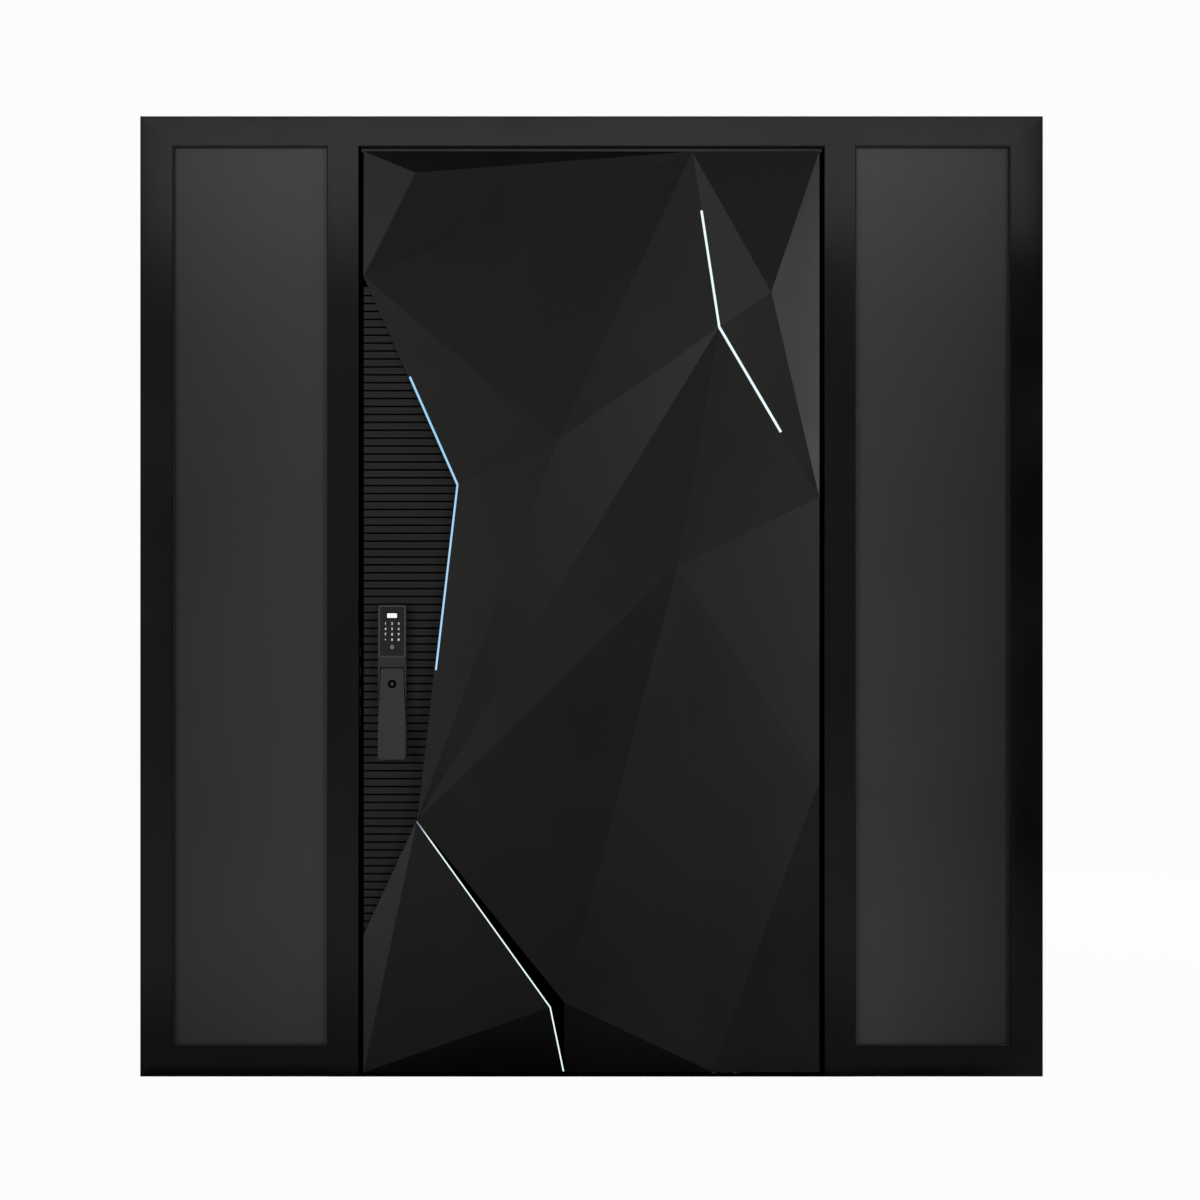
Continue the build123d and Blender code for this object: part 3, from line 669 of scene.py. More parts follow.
def socket_screw(radius: float, depth: float) -> Shape:
    """The head of a screw with a six-sided socket, facing -Y with its back on the plane y = 0.

    Args:
        radius: The head's radius.
        depth: The head's height.

    Returns:
        The shape.
    """
    crown_radius = radius * 0.82
    shoulder = depth * 0.6
    socket_radius = radius * 0.45
    socket_depth = depth * 0.7
    shape = bmesh.new()
    side = ((radius, 0.0), (radius, shoulder), (crown_radius, depth))
    profile = [shape.verts.new((x, 0.0, z)) for x, z in side]
    lines = [shape.edges.new(pair) for pair in zip(profile, profile[1:])]
    turn = {"axis": (0.0, 0.0, 1.0), "cent": (0.0, 0.0, 0.0), "dvec": (0.0, 0.0, 0.0), "angle": 2 * pi}
    bmesh.ops.spin(shape, geom=profile + lines, steps=24, use_merge=True, use_duplicate=False, **turn)
    socket = bmesh.ops.create_circle(shape, cap_ends=False, radius=socket_radius, segments=6)["verts"]
    bmesh.ops.translate(shape, verts=socket, vec=(0.0, 0.0, depth))
    hexagon = [e for e in shape.edges if all(vert in socket for vert in e.verts)]
    crown = [e for e in shape.edges if e.is_boundary and at_height(e, depth)]
    bmesh.ops.bridge_loops(shape, edges=hexagon + crown)
    shift_new(shape, bmesh.ops.extrude_edge_only(shape, edges=hexagon), (0.0, 0.0, -socket_depth))
    bmesh.ops.holes_fill(shape, edges=shape.edges, sides=32)
    bmesh.ops.recalc_face_normals(shape, faces=shape.faces)
    face_front(shape)
    return shape


def gathered(shapes: list[tuple[Shape, Matrix]]) -> Shape:
    """Puts shapes in place and gathers them into one.

    Args:
        shapes: Each shape, which is freed, with its place.

    Returns:
        The gathered shape.
    """
    whole = bmesh.new()
    for shape, place in shapes:
        bmesh.ops.transform(shape, matrix=place, verts=shape.verts)
        mesh = bpy.data.meshes.new("part")
        shape.to_mesh(mesh)
        shape.free()
        whole.from_mesh(mesh)
        bpy.data.meshes.remove(mesh)
    return whole


@dataclass
class Assembly:
    """Common work of the door's sub-assemblies."""

    body: Body

    def finish_piece(
        self, piece: Piece, finish: Finish, node: str | None = None, body: Body | None = None
    ) -> Piece:
        """Dresses a new piece, sets it on its body and hides the solid that it stands for.

        Args:
            piece: The piece, in place.
            finish: Its main finish.
            node: The solid that it stands for.
            body: The body that it rides on, where that isn't the assembly's own.

        Returns:
            The piece.
        """
        if not piece.data.materials:
            piece.data.materials.append(finish.material())
        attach(piece, (body or self.body).value)
        if node is not None:
            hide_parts(node)
        log.info("piece %s: %s on %s", piece.name, finish.name, (body or self.body).value)
        return piece

    def keep(self, finish: Finish, *nodes: str) -> None:
        """Gives solids that stay as they are their finish.

        Args:
            finish: The finish.
            *nodes: The solids' names.
        """
        for node in nodes:
            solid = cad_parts[node]
            for slot in solid.material_slots:
                slot.material = finish.material()
            log.info("solid %s: %s", node, finish.name)

    def object_from(self, shape: Shape, name: str, smooth: float | None = None) -> Piece:
        """Turns a shape into an object with flat or smooth shading.

        Args:
            shape: The shape, which is freed.
            name: The object's name.
            smooth: The angle in degrees under which edges shade smooth, or None for flat faces.

        Returns:
            The object.
        """
        piece = linked_object(shape, name)
        if smooth is not None:
            for face in piece.data.polygons:
                face.use_smooth = True
            piece.data.set_sharp_from_angle(angle=radians(smooth))
            piece.modifiers.new("even_shading", "WEIGHTED_NORMAL").keep_sharp = True
        return piece

    def merged_copy(self, node: str) -> Shape:
        """Copies a solid's mesh with its doubles merged and its flat faces joined.

        Args:
            node: The solid's name.

        Returns:
            The copy.
        """
        shape = bmesh.new()
        shape.from_mesh(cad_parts[node].data)
        bmesh.ops.remove_doubles(shape, verts=shape.verts, dist=MERGE_DISTANCE)
        bmesh.ops.dissolve_limit(
            shape, angle_limit=FLAT_ANGLE, verts=shape.verts, edges=shape.edges, use_dissolve_boundaries=False
        )
        return shape

    def parted(
        self,
        shape: Shape,
        node: str,
        finishes: tuple[Finish, ...],
        smooth: float | None = None,
        body: Body | None = None,
        ending: str = "_dressed",
    ) -> Piece:
        """Makes a piece whose faces already name one of several finishes by number.

        Args:
            shape: The shape, which is freed.
            node: The solid that it stands for.
            finishes: The finishes, with the main one first.
            smooth: The angle in degrees under which edges shade smooth, or None for flat faces.
            body: The body that it rides on, where that isn't the assembly's own.
            ending: What the piece's name adds to the solid's.

        Returns:
            The piece.
        """
        piece = self.object_from(shape, node + ending, smooth)
        for finish in finishes:
            piece.data.materials.append(finish.material())
        return self.finish_piece(piece, finishes[0], node, body)

    def eased(
        self, node: str, finish: Finish, width: float, segments: int = 2, body: Body | None = None
    ) -> Piece:
        """Makes a copy of a solid with rounded edges, which stands for the solid.

        Args:
            node: The solid's name.
            finish: Its finish.
            width: The width of the rounding, in metres.
            segments: The steps of the rounding.
            body: The body that it rides on, where that isn't the assembly's own.

        Returns:
            The piece.
        """
        shape = self.merged_copy(node)
        soften(shape, sharp_edges(shape, SHARP_ANGLE), width, segments)
        return self.parted(shape, node, (finish,), SMOOTH_DEGREES, body, "_eased")

    def screws(self, name: str, places: list[Matrix], radius: float, depth: float) -> None:
        """Adds the heads of screws.

        Args:
            name: The piece's name.
            places: The place of each head.
            radius: A head's radius.
            depth: A head's height.
        """
        heads = [(socket_screw(radius, depth), place) for place in places]
        self.finish_piece(self.object_from(gathered(heads), name, SCREW_SMOOTH_DEGREES), STEEL)

    def edge_screws(
        self, name: str, node: str, outwards: int, radius: float, depth: float, from_end: float
    ) -> None:
        """Adds a screw near each end of an upright plate that looks along X.

        Args:
            name: The piece's name.
            node: The plate's name.
            outwards: 1 where the plate looks along +X, -1 where it looks along -X.
            radius: A head's radius.
            depth: A head's height.
            from_end: A head's distance from the plate's end.
        """
        low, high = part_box(node)
        face = high.x if outwards > 0 else low.x
        turn = Matrix.Rotation(outwards * pi / 2, 4, "Z")
        heights = (low.z + from_end, high.z - from_end)
        places = [Matrix.Translation((face, (low.y + high.y) / 2, height)) @ turn for height in heights]
        self.screws(name, places, radius, depth)


@dataclass
class BoxFrame(Assembly):
    """Head, jambs, mullions, bottom rails and threshold."""

    body: Body = Body.FRAME
    edge: float = 0.25 * MM
    threshold_edge: float = 0.5 * MM
    chamfer_slopes: Span = (0.2, 0.95)
    side_slope: float = 0.1
    members: tuple[str, ...] = (
        "head_rail",
        "left_jamb",
        "right_jamb",
        "left_mullion",
        "right_mullion",
        "left_bottom_rail",
        "right_bottom_rail",
    )

    def build(self) -> None:
        """Makes the members with softened edges."""
        for node in self.members:
            self.member(node)
        self.eased("threshold", THRESHOLD, self.threshold_edge)

    def member(self, node: str) -> None:
        """Makes a member whose outer chamfer and top get painted shade, whose sides in the doorway get
        painted shade and whose underside over the doorway gets painted light.

        Its edges are hardly rounded, so that its joints with its neighbours stay nearly shut.

        Args:
            node: The member's name.
        """
        shape = self.merged_copy(node)
        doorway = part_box("threshold")[1].x + MM
        for face in shape.faces:
            face.material_index = self.finish_number(face, doorway)
        soften(shape, sharp_edges(shape, SQUARE_ANGLE), self.edge)
        self.parted(shape, node, (FRAME_PAINT, EDGE_PAINTED_SHADE, REVEAL_PAINTED_SHADE, LINTEL_PAINTED_LIGHT), SMOOTH_DEGREES)

    def finish_number(self, face: bmesh.types.BMFace, doorway: float) -> int:
        """Picks a face's finish by where it is and the way that it looks.

        Args:
            face: The face.
            doorway: Half the doorway's width.

        Returns:
            The finish's number.
        """
        gentle, steep = self.chamfer_slopes
        # Outer chamfers and tops get painted shade (number 1).
        if gentle < -face.normal.y < steep or face.normal.z > SQUARE_ON:
            return 1
        if abs(face.normal.y) >= self.side_slope or abs(face.calc_center_median().x) >= doorway:
            return 0
        # Sides in the doorway get painted shade (number 2) and the head's underside gets painted light
        # (number 3).
        return 3 if face.normal.z < -SQUARE_ON else 2


@dataclass
class SideWindow(Assembly):
    """One fixed window: pane, gaskets and beads."""

    body: Body = Body.FRAME
    side: str = "left"
    pane: Frosted = LEFT_GLASS
    bead_edge: float = 0.8 * MM

    def build(self) -> None:
        """Dresses the pane and gaskets and softens the beads."""
        self.keep(self.pane, self.side + "_glass")
        # The gaskets and beads get painted light.
        self.keep(GASKET, self.side + "_gaskets")
        self.eased(self.side + "_outer_beads", BEAD_PAINT, self.bead_edge)
        self.eased(self.side + "_inner_beads", BEAD_PAINT, self.bead_edge)


@dataclass
class StopSet(Assembly):
    """Stops with their seals, and the lock's keeper."""

    body: Body = Body.FRAME
    edge: float = 1.0 * MM
    seal_round: float = 1.8 * MM
    plate_edge: float = 0.4 * MM
    screw_radius: float = 4.0 * MM
    screw_depth: float = 1.0 * MM
    screw_from_end: float = 14.0 * MM

    def build(self) -> None:
        """Makes the stops, seals and keeper."""
        self.eased("latch_stop", FRAME_PAINT, self.edge)
        self.eased("head_stop", FRAME_PAINT, self.edge)
        self.eased("stop_seals", RUBBER, self.seal_round, 3)
        self.eased("gap_seals", RUBBER, self.seal_round, 3)
        self.eased("strike_plate", STEEL, self.plate_edge)
        sizes = (self.screw_radius, self.screw_depth, self.screw_from_end)
        self.edge_screws("strike_screws", "strike_plate", 1, *sizes)


@dataclass
class PivotSet(Assembly):
    """Floor pivot and head pivot."""

    body: Body = Body.FRAME
    bottom_edge: float = 0.8 * MM
    top_edge: float = 0.6 * MM
    pin_radius: float = 10.0 * MM
    seal_length: float = 150.0 * MM
    seal_depth: float = 6.0 * MM
    seal_round: float = 0.8 * MM
    seal_clearance: float = 0.5 * MM

    def build(self) -> None:
        """Dresses the pivots and closes the gap beside the head pivot's pin."""
        self.eased("bottom_pivot", PIVOT_METAL, self.bottom_edge)
        self.eased("top_pivot", PIVOT_METAL, self.top_edge)
        self.keep(PIVOT_METAL, "bottom_pivot_shoe", "top_pivot_socket")
        self.pin_seals()

    def pin_seals(self) -> None:
        """Adds strips of seal under the head, from the pin past the stop's end and to the doorway's side."""
        low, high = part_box("top_pivot")
        axis = (low.x + high.x) / 2
        reach = self.pin_radius + self.seal_clearance
        spans = ((axis - reach - self.seal_length, axis - reach), (axis + reach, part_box("gap_seals")[1].x))
        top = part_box("head_rail")[0].z
        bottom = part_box("front_sheet")[1].z + self.seal_clearance
        strips = []
        for start, end in spans:
            sizes = (end - start, top - bottom, self.seal_depth)
            strip = rounded_plate(*sizes, self.seal_round, self.seal_round)
            place = ((start + end) / 2, self.seal_depth / 2, (top + bottom) / 2)
            strips.append((strip, Matrix.Translation(place)))
        self.finish_piece(self.object_from(gathered(strips), "pin_seals", SMOOTH_DEGREES), RUBBER)


@dataclass
class LightStrip(Assembly):
    """A lit strip in a black channel, let into the relief."""

    body: Body = Body.LEAF
    node: str = "left_light"
    lit: Glow = BLUE_LIGHT
    channel: float = 0.9 * MM
    sink: float = 0.3 * MM
    front_slope: float = 0.4
    upper_trim: float = 0.0
    lower_trim: float = 0.0

    def build(self) -> None:
        """Makes the strip with its channel."""
        shape = self.merged_copy(self.node)
        front = [face for face in shape.faces if face.normal.y < -self.front_slope]
        for face in shape.faces:
            face.material_index = 1
        bmesh.ops.inset_region(shape, faces=front, thickness=self.channel, depth=-self.sink, **EVEN_INSET)
        middle = sum(face.calc_center_median().z for face in front) / len(front)
        upper = [face for face in front if face.calc_center_median().z > middle]
        lower = [face for face in front if face.calc_center_median().z < middle]
        for faces, trim in ((upper, self.upper_trim), (lower, self.lower_trim)):
            if trim > 0:
                bmesh.ops.inset_region(shape, faces=faces, thickness=trim, **EVEN_INSET)
        for face in front:
            face.material_index = 0
        self.parted(shape, self.node, (self.lit, CHANNEL), ending="_strip")


@dataclass
class Leaf(Assembly):
    """The faceted leaf with its ribbed panel and light strips."""

    body: Body = Body.LEAF
    crease: float = 0.7 * MM
    crease_angle: float = radians(4.0)
    crease_shortest: float = 30.0 * MM
    crease_slope: float = 0.5
    rib_edge: float = 0.6 * MM
    rim_height: float = 9.0 * MM

    def build(self) -> None:
        """Makes the leaf's pieces."""
        self.keep(LEAF_EDGE, "latch_stile", "pivot_stile", "leaf_top_rail", "leaf_bottom_rail")
        self.sheet("front_sheet")
        self.keep(BACK_PAINT, "back_panel")
        self.keep(RUBBER, "foot_seals")
        self.creased("faceted_plate")
        self.creased("lower_plate")
        self.ribs("ribbed_panel")
        LightStrip(node="left_light", lit=BLUE_LIGHT, lower_trim=0.35 * MM).build()
        LightStrip(node="upper_light", lit=COOL_LIGHT, upper_trim=0.25 * MM).build()
        LightStrip(node="lower_light", lit=LOW_LIGHT, channel=0.6 * MM).build()

    def sheet(self, node: str) -> None:
        """Makes the front sheet, whose rim is satin over the relief and gets painted shade, black and matt,
        beside it.

        Args:
            node: The sheet's name.
        """
        shape = self.merged_copy(node)
        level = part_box(node)[1].z - self.rim_height
        whole = shape.verts[:] + shape.edges[:] + shape.faces[:]
        plane = {"plane_co": (0.0, 0.0, level), "plane_no": (0.0, 0.0, 1.0)}
        bmesh.ops.bisect_plane(shape, geom=whole, dist=MERGE_DISTANCE, **plane)
        for face in shape.faces:
            # Below the top band the sheet gets painted shade.
            face.material_index = 0 if face.calc_center_median().z > level else 1
        self.parted(shape, node, (LEAF_RIM, LEAF_PAINTED_SHADE))

    def ribs(self, node: str) -> None:
        """Makes the ribbed panel, with painted shade, black and matt, between its ribs.

        Args:
            node: The panel's name.
        """
        shape = self.merged_copy(node)
        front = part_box(node)[0].y
        # Faces behind the ribs' fronts get painted shade.
        for face in shape.faces:
            face.material_index = 0 if face.calc_center_median().y < front + self.rib_edge else 1
        edges = []
        for edge in sharp_edges(shape, SQUARE_ANGLE):
            if all(abs(vert.co.y - front) < MERGE_DISTANCE for vert in edge.verts):
                edges.append(edge)
        soften(shape, edges, self.rib_edge)
        self.parted(shape, node, (RIB_PAINT, GROOVE_PAINTED_SHADE), SMOOTH_DEGREES)

    def creased(self, node: str) -> None:
        """Makes a copy of a relief whose long creases are slightly rounded.

        Args:
            node: The relief's name.
        """
        shape = self.merged_copy(node)
        creases = []
        for edge in sharp_edges(shape, self.crease_angle):
            facing = all(face.normal.y < -self.crease_slope for face in edge.link_faces)
            if facing and edge.calc_length() >= self.crease_shortest:
                creases.append(edge)
        soften(shape, creases, self.crease)
        self.parted(shape, node, (LEAF_PAINT,), ending="_creased")


@dataclass
class DoorLock(Assembly):
    """Keypad lock outside with its grip, and its inside half."""

    body: Body = Body.LEAF
    edge: float = 1.2 * MM
    keypad_edge: float = 0.6 * MM
    bolt_edge: float = 1.0 * MM
    inner_edge: float = 0.6 * MM
    turn_edge: float = 0.8 * MM
    plate_edge: float = 0.3 * MM
    key_height: float = 6.4 * MM
    key_column_pitch: float = 17.1 * MM
    key_row_pitch: float = 14.0 * MM
    first_row_from_top: float = 43.2 * MM
    capital_share: float = 0.72
    print_thickness: float = 0.15 * MM
    print_spread: float = 0.15 * MM
    key_rows: tuple[str, ...] = ("123", "456", "789", "*0#")
    star_share: float = 0.8
    display_width: float = 25.6 * MM
    display_height: float = 12.0 * MM
    display_corner: float = 0.8 * MM
    display_frame: float = 3.0 * MM
    display_frame_corner: float = 1.2 * MM
    display_from_top: float = 22.9 * MM
    bell_from_top: float = 104.0 * MM
    bell_size: float = 10.0 * MM
    bell_line: float = 1.2 * MM
    rim_reach: float = 4.2 * MM
    rim_thickness: float = 0.4 * MM
    rim_corner: float = 4.6 * MM
    button_radius: float = 6.2 * MM
    button_slope: float = 0.5
    screw_radius: float = 3.5 * MM
    screw_depth: float = 0.6 * MM
    screw_from_end: float = 14.0 * MM
    cover_width: float = 48.0 * MM
    cover_height: float = 170.0 * MM
    cover_from_bottom: float = 16.0 * MM
    cover_thickness: float = 0.8 * MM
    cover_corner: float = 4.0 * MM
    cover_edge: float = 0.3 * MM

    def build(self) -> None:
        """Makes the lock's pieces."""
        self.eased("lock_body", LOCK_METAL, self.edge)
        self.eased("lock_keypad", KEYPAD, self.keypad_edge)
        self.eased("lock_grip", GRIP_METAL, self.edge, 3, body=Body.GRIP)
        self.keep(LOCK_METAL, "grip_pin")
        self.eased("lock_faceplate", STEEL, self.plate_edge)
        sizes = (self.screw_radius, self.screw_depth, self.screw_from_end)
        self.edge_screws("faceplate_screws", "lock_faceplate", -1, *sizes)
        self.eased("lock_bolts", STEEL, self.bolt_edge)
        self.eased("inner_lock_body", LOCK_METAL, self.inner_edge)
        self.eased("thumb_turn", STEEL, self.turn_edge)
        self.cover("inner_lock_body")
        self.sensor("sensor_button")
        self.rim()
        self.keys()
        self.display()

    def cover(self, node: str) -> None:
        """Adds the battery cover of the lock's inside half, with its screw.

        Args:
            node: The name of the inside half.
        """
        low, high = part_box(node)
        across = (low.x + high.x) / 2
        bottom = low.z + self.cover_from_bottom
        turn = Matrix.Rotation(pi, 4, "Z")
        sizes = (self.cover_width, self.cover_height, self.cover_thickness)
        place = Matrix.Translation((across, high.y, bottom + self.cover_height / 2)) @ turn
        plate = gathered([(rounded_plate(*sizes, self.cover_corner, self.cover_edge), place)])
        self.finish_piece(self.object_from(plate, "battery_cover", SMOOTH_DEGREES), KEYPAD)
        middle = (across, high.y + self.cover_thickness, bottom + self.screw_from_end)
        self.screws("cover_screw", [Matrix.Translation(middle) @ turn], self.screw_radius, self.screw_depth)

    def sensor(self, node: str) -> None:
        """Makes the black sensor ring with its metal middle.

        Args:
            node: The sensor's name.
        """
        shape = self.merged_copy(node)
        low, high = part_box(node)
        middle = (low + high) / 2
        for face in shape.faces:
            across = [Vector((vert.co.x - middle.x, vert.co.z - middle.z)).length for vert in face.verts]
            button = face.normal.y < -self.button_slope and max(across) < self.button_radius
            face.material_index = 1 if button else 0
        self.parted(shape, node, (SENSOR_BLACK, GRIP_METAL), SMOOTH_DEGREES, Body.GRIP)

    def rim(self) -> None:
        """Adds the bright rim round the keypad."""
        low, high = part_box("lock_keypad")
        grow = self.rim_reach
        width = high.x - low.x + 2 * grow
        height = high.z - low.z + 2 * grow
        shape = rounded_plate(width, height, self.rim_thickness, self.rim_corner, 0.0)
        front = [face for face in shape.faces if face.normal.y < -SQUARE_ON]
        bmesh.ops.inset_region(shape, faces=front, thickness=grow, **EVEN_INSET)
        bmesh.ops.delete(shape, geom=front, context="FACES")
        back = [face for face in shape.faces if face.normal.y > SQUARE_ON]
        bmesh.ops.delete(shape, geom=back, context="FACES")
        place = Vector(((low.x + high.x) / 2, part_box("lock_body")[0].y, (low.z + high.z) / 2))
        bmesh.ops.translate(shape, verts=shape.verts, vec=place)
        self.finish_piece(self.object_from(shape, "keypad_rim"), LOCK_RIM)

    def keypad_point(self, across: float, from_top: float) -> Vector:
        """A place on the keypad's face.

        Args:
            across: The distance right of its middle.
            from_top: The distance below its top.

        Returns:
            The place.
        """
        low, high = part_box("lock_keypad")
        return Vector(((low.x + high.x) / 2 + across, low.y, high.z - from_top))

    def letter(self, text: str, height: float) -> Shape:
        """One printed key, centred on the origin and facing -Y.

        Args:
            text: The sign.
            height: The height of a capital.

        Returns:
            The shape.
        """
        curve = bpy.data.curves.new("key", "FONT")
        curve.body = text
        curve.size = height / self.capital_share
        curve.align_x = "CENTER"
        curve.extrude = self.print_thickness / 2
        curve.offset = self.print_spread
        curve.resolution_u = 4
        holder = bpy.data.objects.new("key", curve)
        mesh = bpy.data.meshes.new_from_object(holder)
        shape = bmesh.new()
        shape.from_mesh(mesh)
        bpy.data.objects.remove(holder)
        bpy.data.curves.remove(curve)
        bpy.data.meshes.remove(mesh)
        bmesh.ops.remove_doubles(shape, verts=shape.verts, dist=MERGE_DISTANCE)
        ends = [vert.co.y for vert in shape.verts]
        sides = [vert.co.x for vert in shape.verts]
        middle = ((min(sides) + max(sides)) / 2, (min(ends) + max(ends)) / 2, 0.0)
        bmesh.ops.translate(shape, verts=shape.verts, vec=-Vector(middle))
        face_front(shape)
        return shape

    def keys(self) -> None:
        """Prints the keys and the bell sign."""
        signs = []
        for row, text in enumerate(self.key_rows):
            for column, sign in enumerate(text):
                across = (column - 1) * self.key_column_pitch
                place = self.keypad_point(across, self.first_row_from_top + row * self.key_row_pitch)
                height = self.key_height * (self.star_share if sign == "*" else 1.0)
                signs.append((self.letter(sign, height), Matrix.Translation(place)))
        self.finish_piece(self.object_from(gathered(signs), "key_signs"), KEY_PRINT)
        icon = self.bell()
        bmesh.ops.translate(icon, verts=icon.verts, vec=self.keypad_point(0.0, self.bell_from_top))
        self.finish_piece(self.object_from(icon, "bell_sign"), ICON_PRINT)

    def bell(self) -> Shape:
        """The line of a bell sign, centred on the origin and facing -Y.

        Returns:
            The shape.
        """
        size = self.bell_size
        half = ((0.0, 0.5), (0.2, 0.44), (0.32, 0.26), (0.35, 0.0), (0.46, -0.2), (0.46, -0.34), (0.0, -0.34))
        right = [(x * size, z * size) for x, z in half]
        outline = right + [(-x, z) for x, z in reversed(right[1:-1])]
        shape = bmesh.new()
        face = shape.faces.new([shape.verts.new((x, 0.0, z)) for x, z in outline])
        shape.normal_update()
        bmesh.ops.inset_region(shape, faces=[face], thickness=self.bell_line, **EVEN_INSET)
        bmesh.ops.delete(shape, geom=[face], context="FACES")
        foot = ((-0.14, -0.4), (0.14, -0.4), (0.09, -0.5), (-0.09, -0.5))
        shape.faces.new([shape.verts.new((x * size, 0.0, z * size)) for x, z in foot])
        grown = bmesh.ops.extrude_face_region(shape, geom=shape.faces[:])
        shift_new(shape, grown, (0.0, -self.print_thickness, 0.0))
        bmesh.ops.recalc_face_normals(shape, faces=shape.faces)
        return shape

    def display(self) -> None:
        """Adds the lit display in its black frame."""
        place = self.keypad_point(0.0, self.display_from_top)
        thin = self.print_thickness
        layers = (
            ("display_frame", SENSOR_BLACK, 2 * self.display_frame, thin, self.display_frame_corner),
            ("lock_display", DISPLAY, 0.0, 2 * thin, self.display_corner),
        )
        for name, finish, grow, depth, corner in layers:
            shape = rounded_plate(self.display_width + grow, self.display_height + grow, depth, corner, 0.0)
            bmesh.ops.translate(shape, verts=shape.verts, vec=place)
            self.finish_piece(self.object_from(shape, name), finish)


@dataclass(frozen=True)
class SoftBox:
    """A square lamp with a soft edge to its shadows."""

    name: str
    place: Place
    aim: Place
    width: float
    height: float
    radiance: float

    def build(self) -> None:
        """Hangs the lamp and turns it to its aim."""
        lamp = bpy.data.lights.new(self.name, "AREA")
        lamp.shape = "RECTANGLE"
        lamp.size = self.width
        lamp.size_y = self.height
        lamp.energy = self.radiance * pi * self.width * self.height
        holder = bpy.data.objects.new(self.name, lamp)
        holder.location = self.place
        way = Vector(self.aim) - Vector(self.place)
        holder.rotation_euler = way.to_track_quat("-Z", "Y").to_euler()
        holder.visible_camera = False
        bpy.context.scene.collection.objects.link(holder)


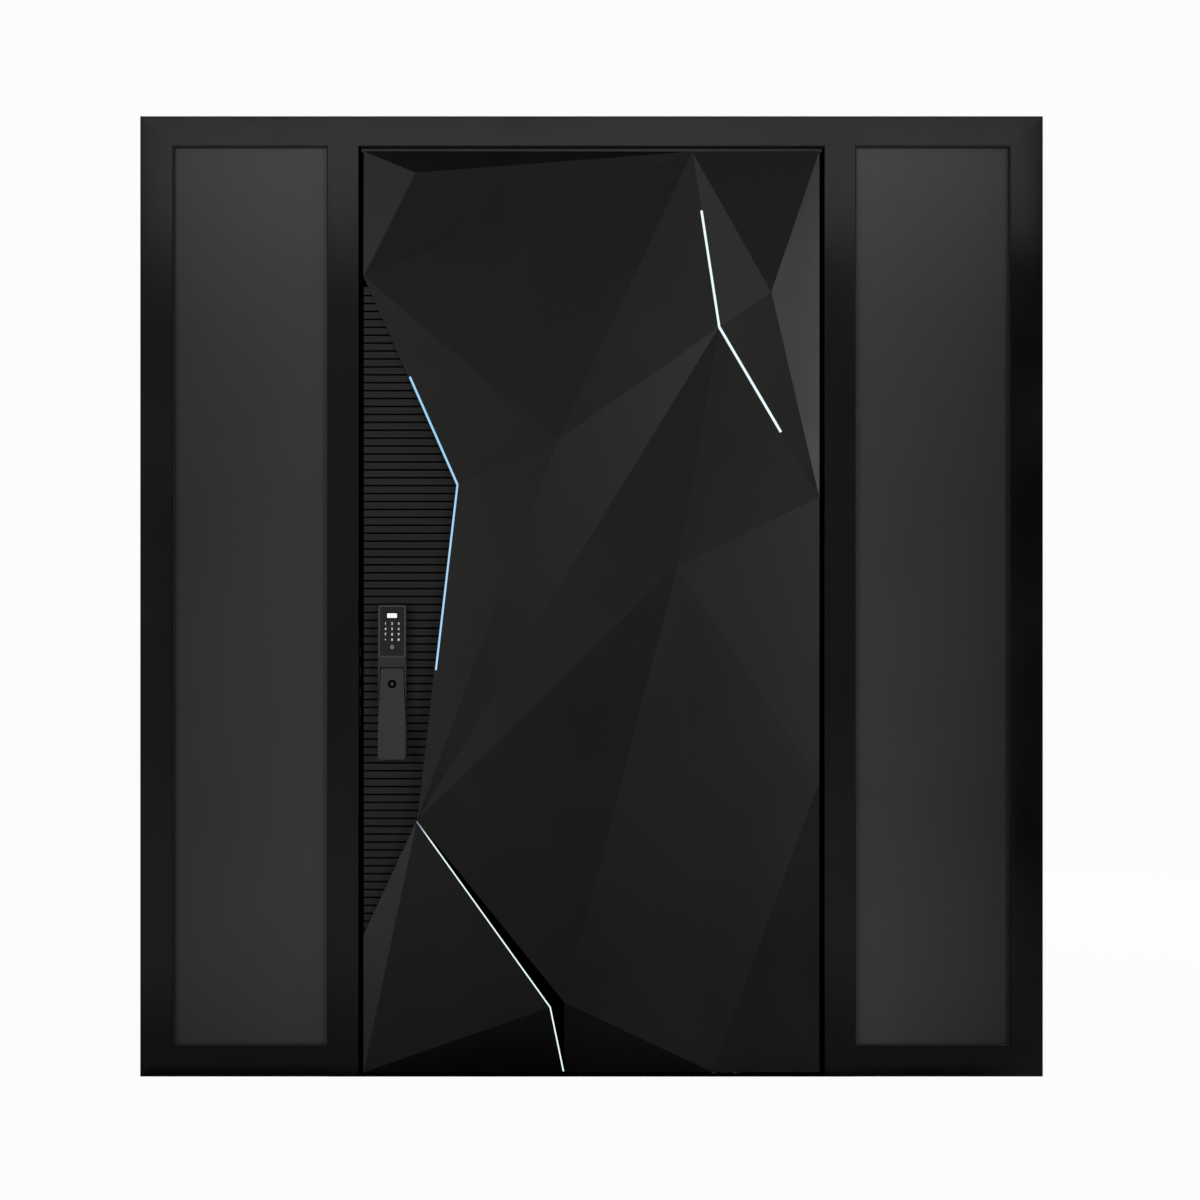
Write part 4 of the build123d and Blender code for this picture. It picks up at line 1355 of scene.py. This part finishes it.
@dataclass
class Studio:
    """Camera, soft lamps, a wide pale floor and a white surround."""

    camera_place: Place = (0.022, -8.06, 1.2386)
    camera_lens: float = 92.36
    camera_sensor: float = 36.0
    camera_reach: float = 200.0
    surround: float = 0.45
    seen_white: float = 0.972
    front_level: float = 0.24
    left_side: Span = (-0.09, -0.15)
    left_level: float = 0.23
    right_side: Span = (0.1, 0.12)
    right_level: float = 0.0
    low_side: Span = (0.1, 0.2)
    low_level: float = 0.1
    behind: Span = (-0.1, 0.1)
    floor_half_width: float = 60.0
    floor_colour: Colour = (0.8, 0.8, 0.795)
    floor_white: float = 1.0
    floor_seen_share: float = 0.95
    floor_near: Span = (-0.1, -0.25)
    floor_near_painted_shade: float = 0.2
    floor_far: Span = (-0.9, -2.6)
    floor_far_level: float = 0.5
    floor_end: Span = (-8.0, -16.0)
    floor_end_level: float = 0.3
    floor_right_sector: Span = (0.12, 0.138)
    floor_right: Span = (-3.5, -6.5)
    floor_right_near_level: float = 0.25
    floor_right_painted_shade: float = 0.0
    floor_behind: Span = (0.0, 0.5)
    floor_behind_level: float = 0.9
    lamps: tuple[SoftBox, ...] = (
        SoftBox("right_softbox", (5.09, -6.94, 1.87), (0.0, 0.0, 1.2), 1.63, 3.6, 16.8),
        SoftBox("left_softbox", (-4.97, -6.98, 1.76), (0.0, 0.0, 1.2), 1.45, 3.4, 12.8),
        SoftBox("high_softbox", (-0.03, -6.5, 3.55), (0.0, 0.0, 1.6), 5.0, 1.2, 1.53),
        SoftBox("back_softbox", (2.6, 5.6, 2.6), (0.0, 0.0, 1.2), 2.4, 2.4, 5.0),
    )

    def build(self) -> None:
        """Sets up camera, lamps, floor and surround."""
        self.camera()
        for lamp in self.lamps:
            lamp.build()
        self.floor()
        self.world()
        bpy.context.scene.view_settings.view_transform = "Standard"

    def camera(self) -> None:
        """Sets up the camera, square on to the door."""
        view = bpy.data.cameras.new("camera")
        view.lens = self.camera_lens
        view.sensor_width = self.camera_sensor
        view.clip_end = self.camera_reach
        holder = bpy.data.objects.new("camera", view)
        holder.location = self.camera_place
        holder.rotation_euler = (pi / 2, 0.0, 0.0)
        bpy.context.scene.collection.objects.link(holder)
        bpy.context.scene.camera = holder

    def floor(self) -> None:
        """Lays the floor."""
        shape = bmesh.new()
        bmesh.ops.create_grid(shape, x_segments=1, y_segments=1, size=self.floor_half_width)
        floor = linked_object(shape, "studio_floor")
        floor.data.materials.append(self.floor_material())

    def floor_material(self) -> bpy.types.Material:
        """A pale floor that reads as white and keeps a soft shadow; in glossy rays it shows painted shade,
        darker close to the door's front and in a sector to the right.

        Returns:
            The material.
        """
        made = bpy.data.materials.new("studio_pale")
        made.use_nodes = True
        sheet = NodeSheet(made.node_tree)
        matt = sheet.add("ShaderNodeBsdfDiffuse", {"Color": (*self.floor_colour, 1.0)})
        path = sheet.add("ShaderNodeLightPath").outputs
        seen = sheet.math("MAXIMUM", path["Is Camera Ray"], path["Is Transmission Ray"])
        seen = sheet.math("MULTIPLY", seen, self.floor_seen_share)
        share = sheet.math("MAXIMUM", seen, path["Is Glossy Ray"])
        # Painted shade for glossy rays: the mirrored level is set by place, darker close to the door's front
        # and in a sector to the right.
        place = sheet.axes()
        aside = sheet.math("DIVIDE", place["X"], sheet.math("SUBTRACT", -self.camera_place[1], place["Y"]))
        painted_shade_ahead = sheet.ramp(place["Y"], self.floor_near, 0.0, self.floor_near_painted_shade)
        painted_shade_ahead = sheet.ramp(place["Y"], self.floor_far, painted_shade_ahead, self.floor_far_level)
        painted_shade_ahead = sheet.ramp(place["Y"], self.floor_end, painted_shade_ahead, self.floor_end_level)
        right = sheet.ramp(place["Y"], self.floor_right, self.floor_right_near_level, self.floor_right_painted_shade)
        painted_shade_ahead = sheet.ramp(aside, self.floor_right_sector, painted_shade_ahead, right)
        mirrored = sheet.ramp(place["Y"], self.floor_behind, painted_shade_ahead, self.floor_behind_level)
        level = sheet.mixed(path["Is Glossy Ray"], self.floor_white, mirrored)
        white = sheet.add("ShaderNodeEmission", {"Strength": level})
        mix = sheet.add("ShaderNodeMixShader", {0: share, 1: matt.outputs[0], 2: white.outputs[0]})
        sheet.add("ShaderNodeOutputMaterial", {"Surface": mix.outputs[0]})
        return made

    def world(self) -> None:
        """A white surround that is dimmer in front of the door, and lights the door at a lower level."""
        world = bpy.data.worlds.new("studio_surround")
        world.use_nodes = True
        bpy.context.scene.world = world
        sheet = NodeSheet(world.node_tree)
        way = sheet.axes("Generated")
        level = sheet.ramp(way["X"], self.right_side, self.front_level, self.right_level)
        level = sheet.ramp(way["X"], self.left_side, level, self.left_level)
        low = sheet.ramp(way["Z"], self.low_side, self.low_level, 0.0)
        low = sheet.ramp(way["X"], self.right_side, low, 0.0)
        level = sheet.math("ADD", level, low)
        mirrored = sheet.ramp(way["Y"], self.behind, level, self.seen_white)
        path = sheet.add("ShaderNodeLightPath").outputs
        level = sheet.mixed(path["Is Glossy Ray"], self.surround, mirrored)
        seen = sheet.math("MAXIMUM", path["Is Camera Ray"], path["Is Transmission Ray"])
        level = sheet.mixed(seen, level, self.seen_white)
        light = sheet.add("ShaderNodeBackground", {"Color": (1.0, 1.0, 1.0, 1.0), "Strength": level})
        sheet.add("ShaderNodeOutputWorld", {"Surface": light.outputs[0]})


def main() -> None:
    """Builds the door's sub-assemblies and the studio."""
    logging.basicConfig(level=logging.INFO, format="%(name)s %(message)s")
    Studio().build()
    windows = (SideWindow(side="left"), SideWindow(side="right", pane=RIGHT_GLASS))
    for part in (BoxFrame(), *windows, StopSet(), PivotSet(), Leaf(), DoorLock()):
        part.build()


if __name__ == "__main__":
    main()
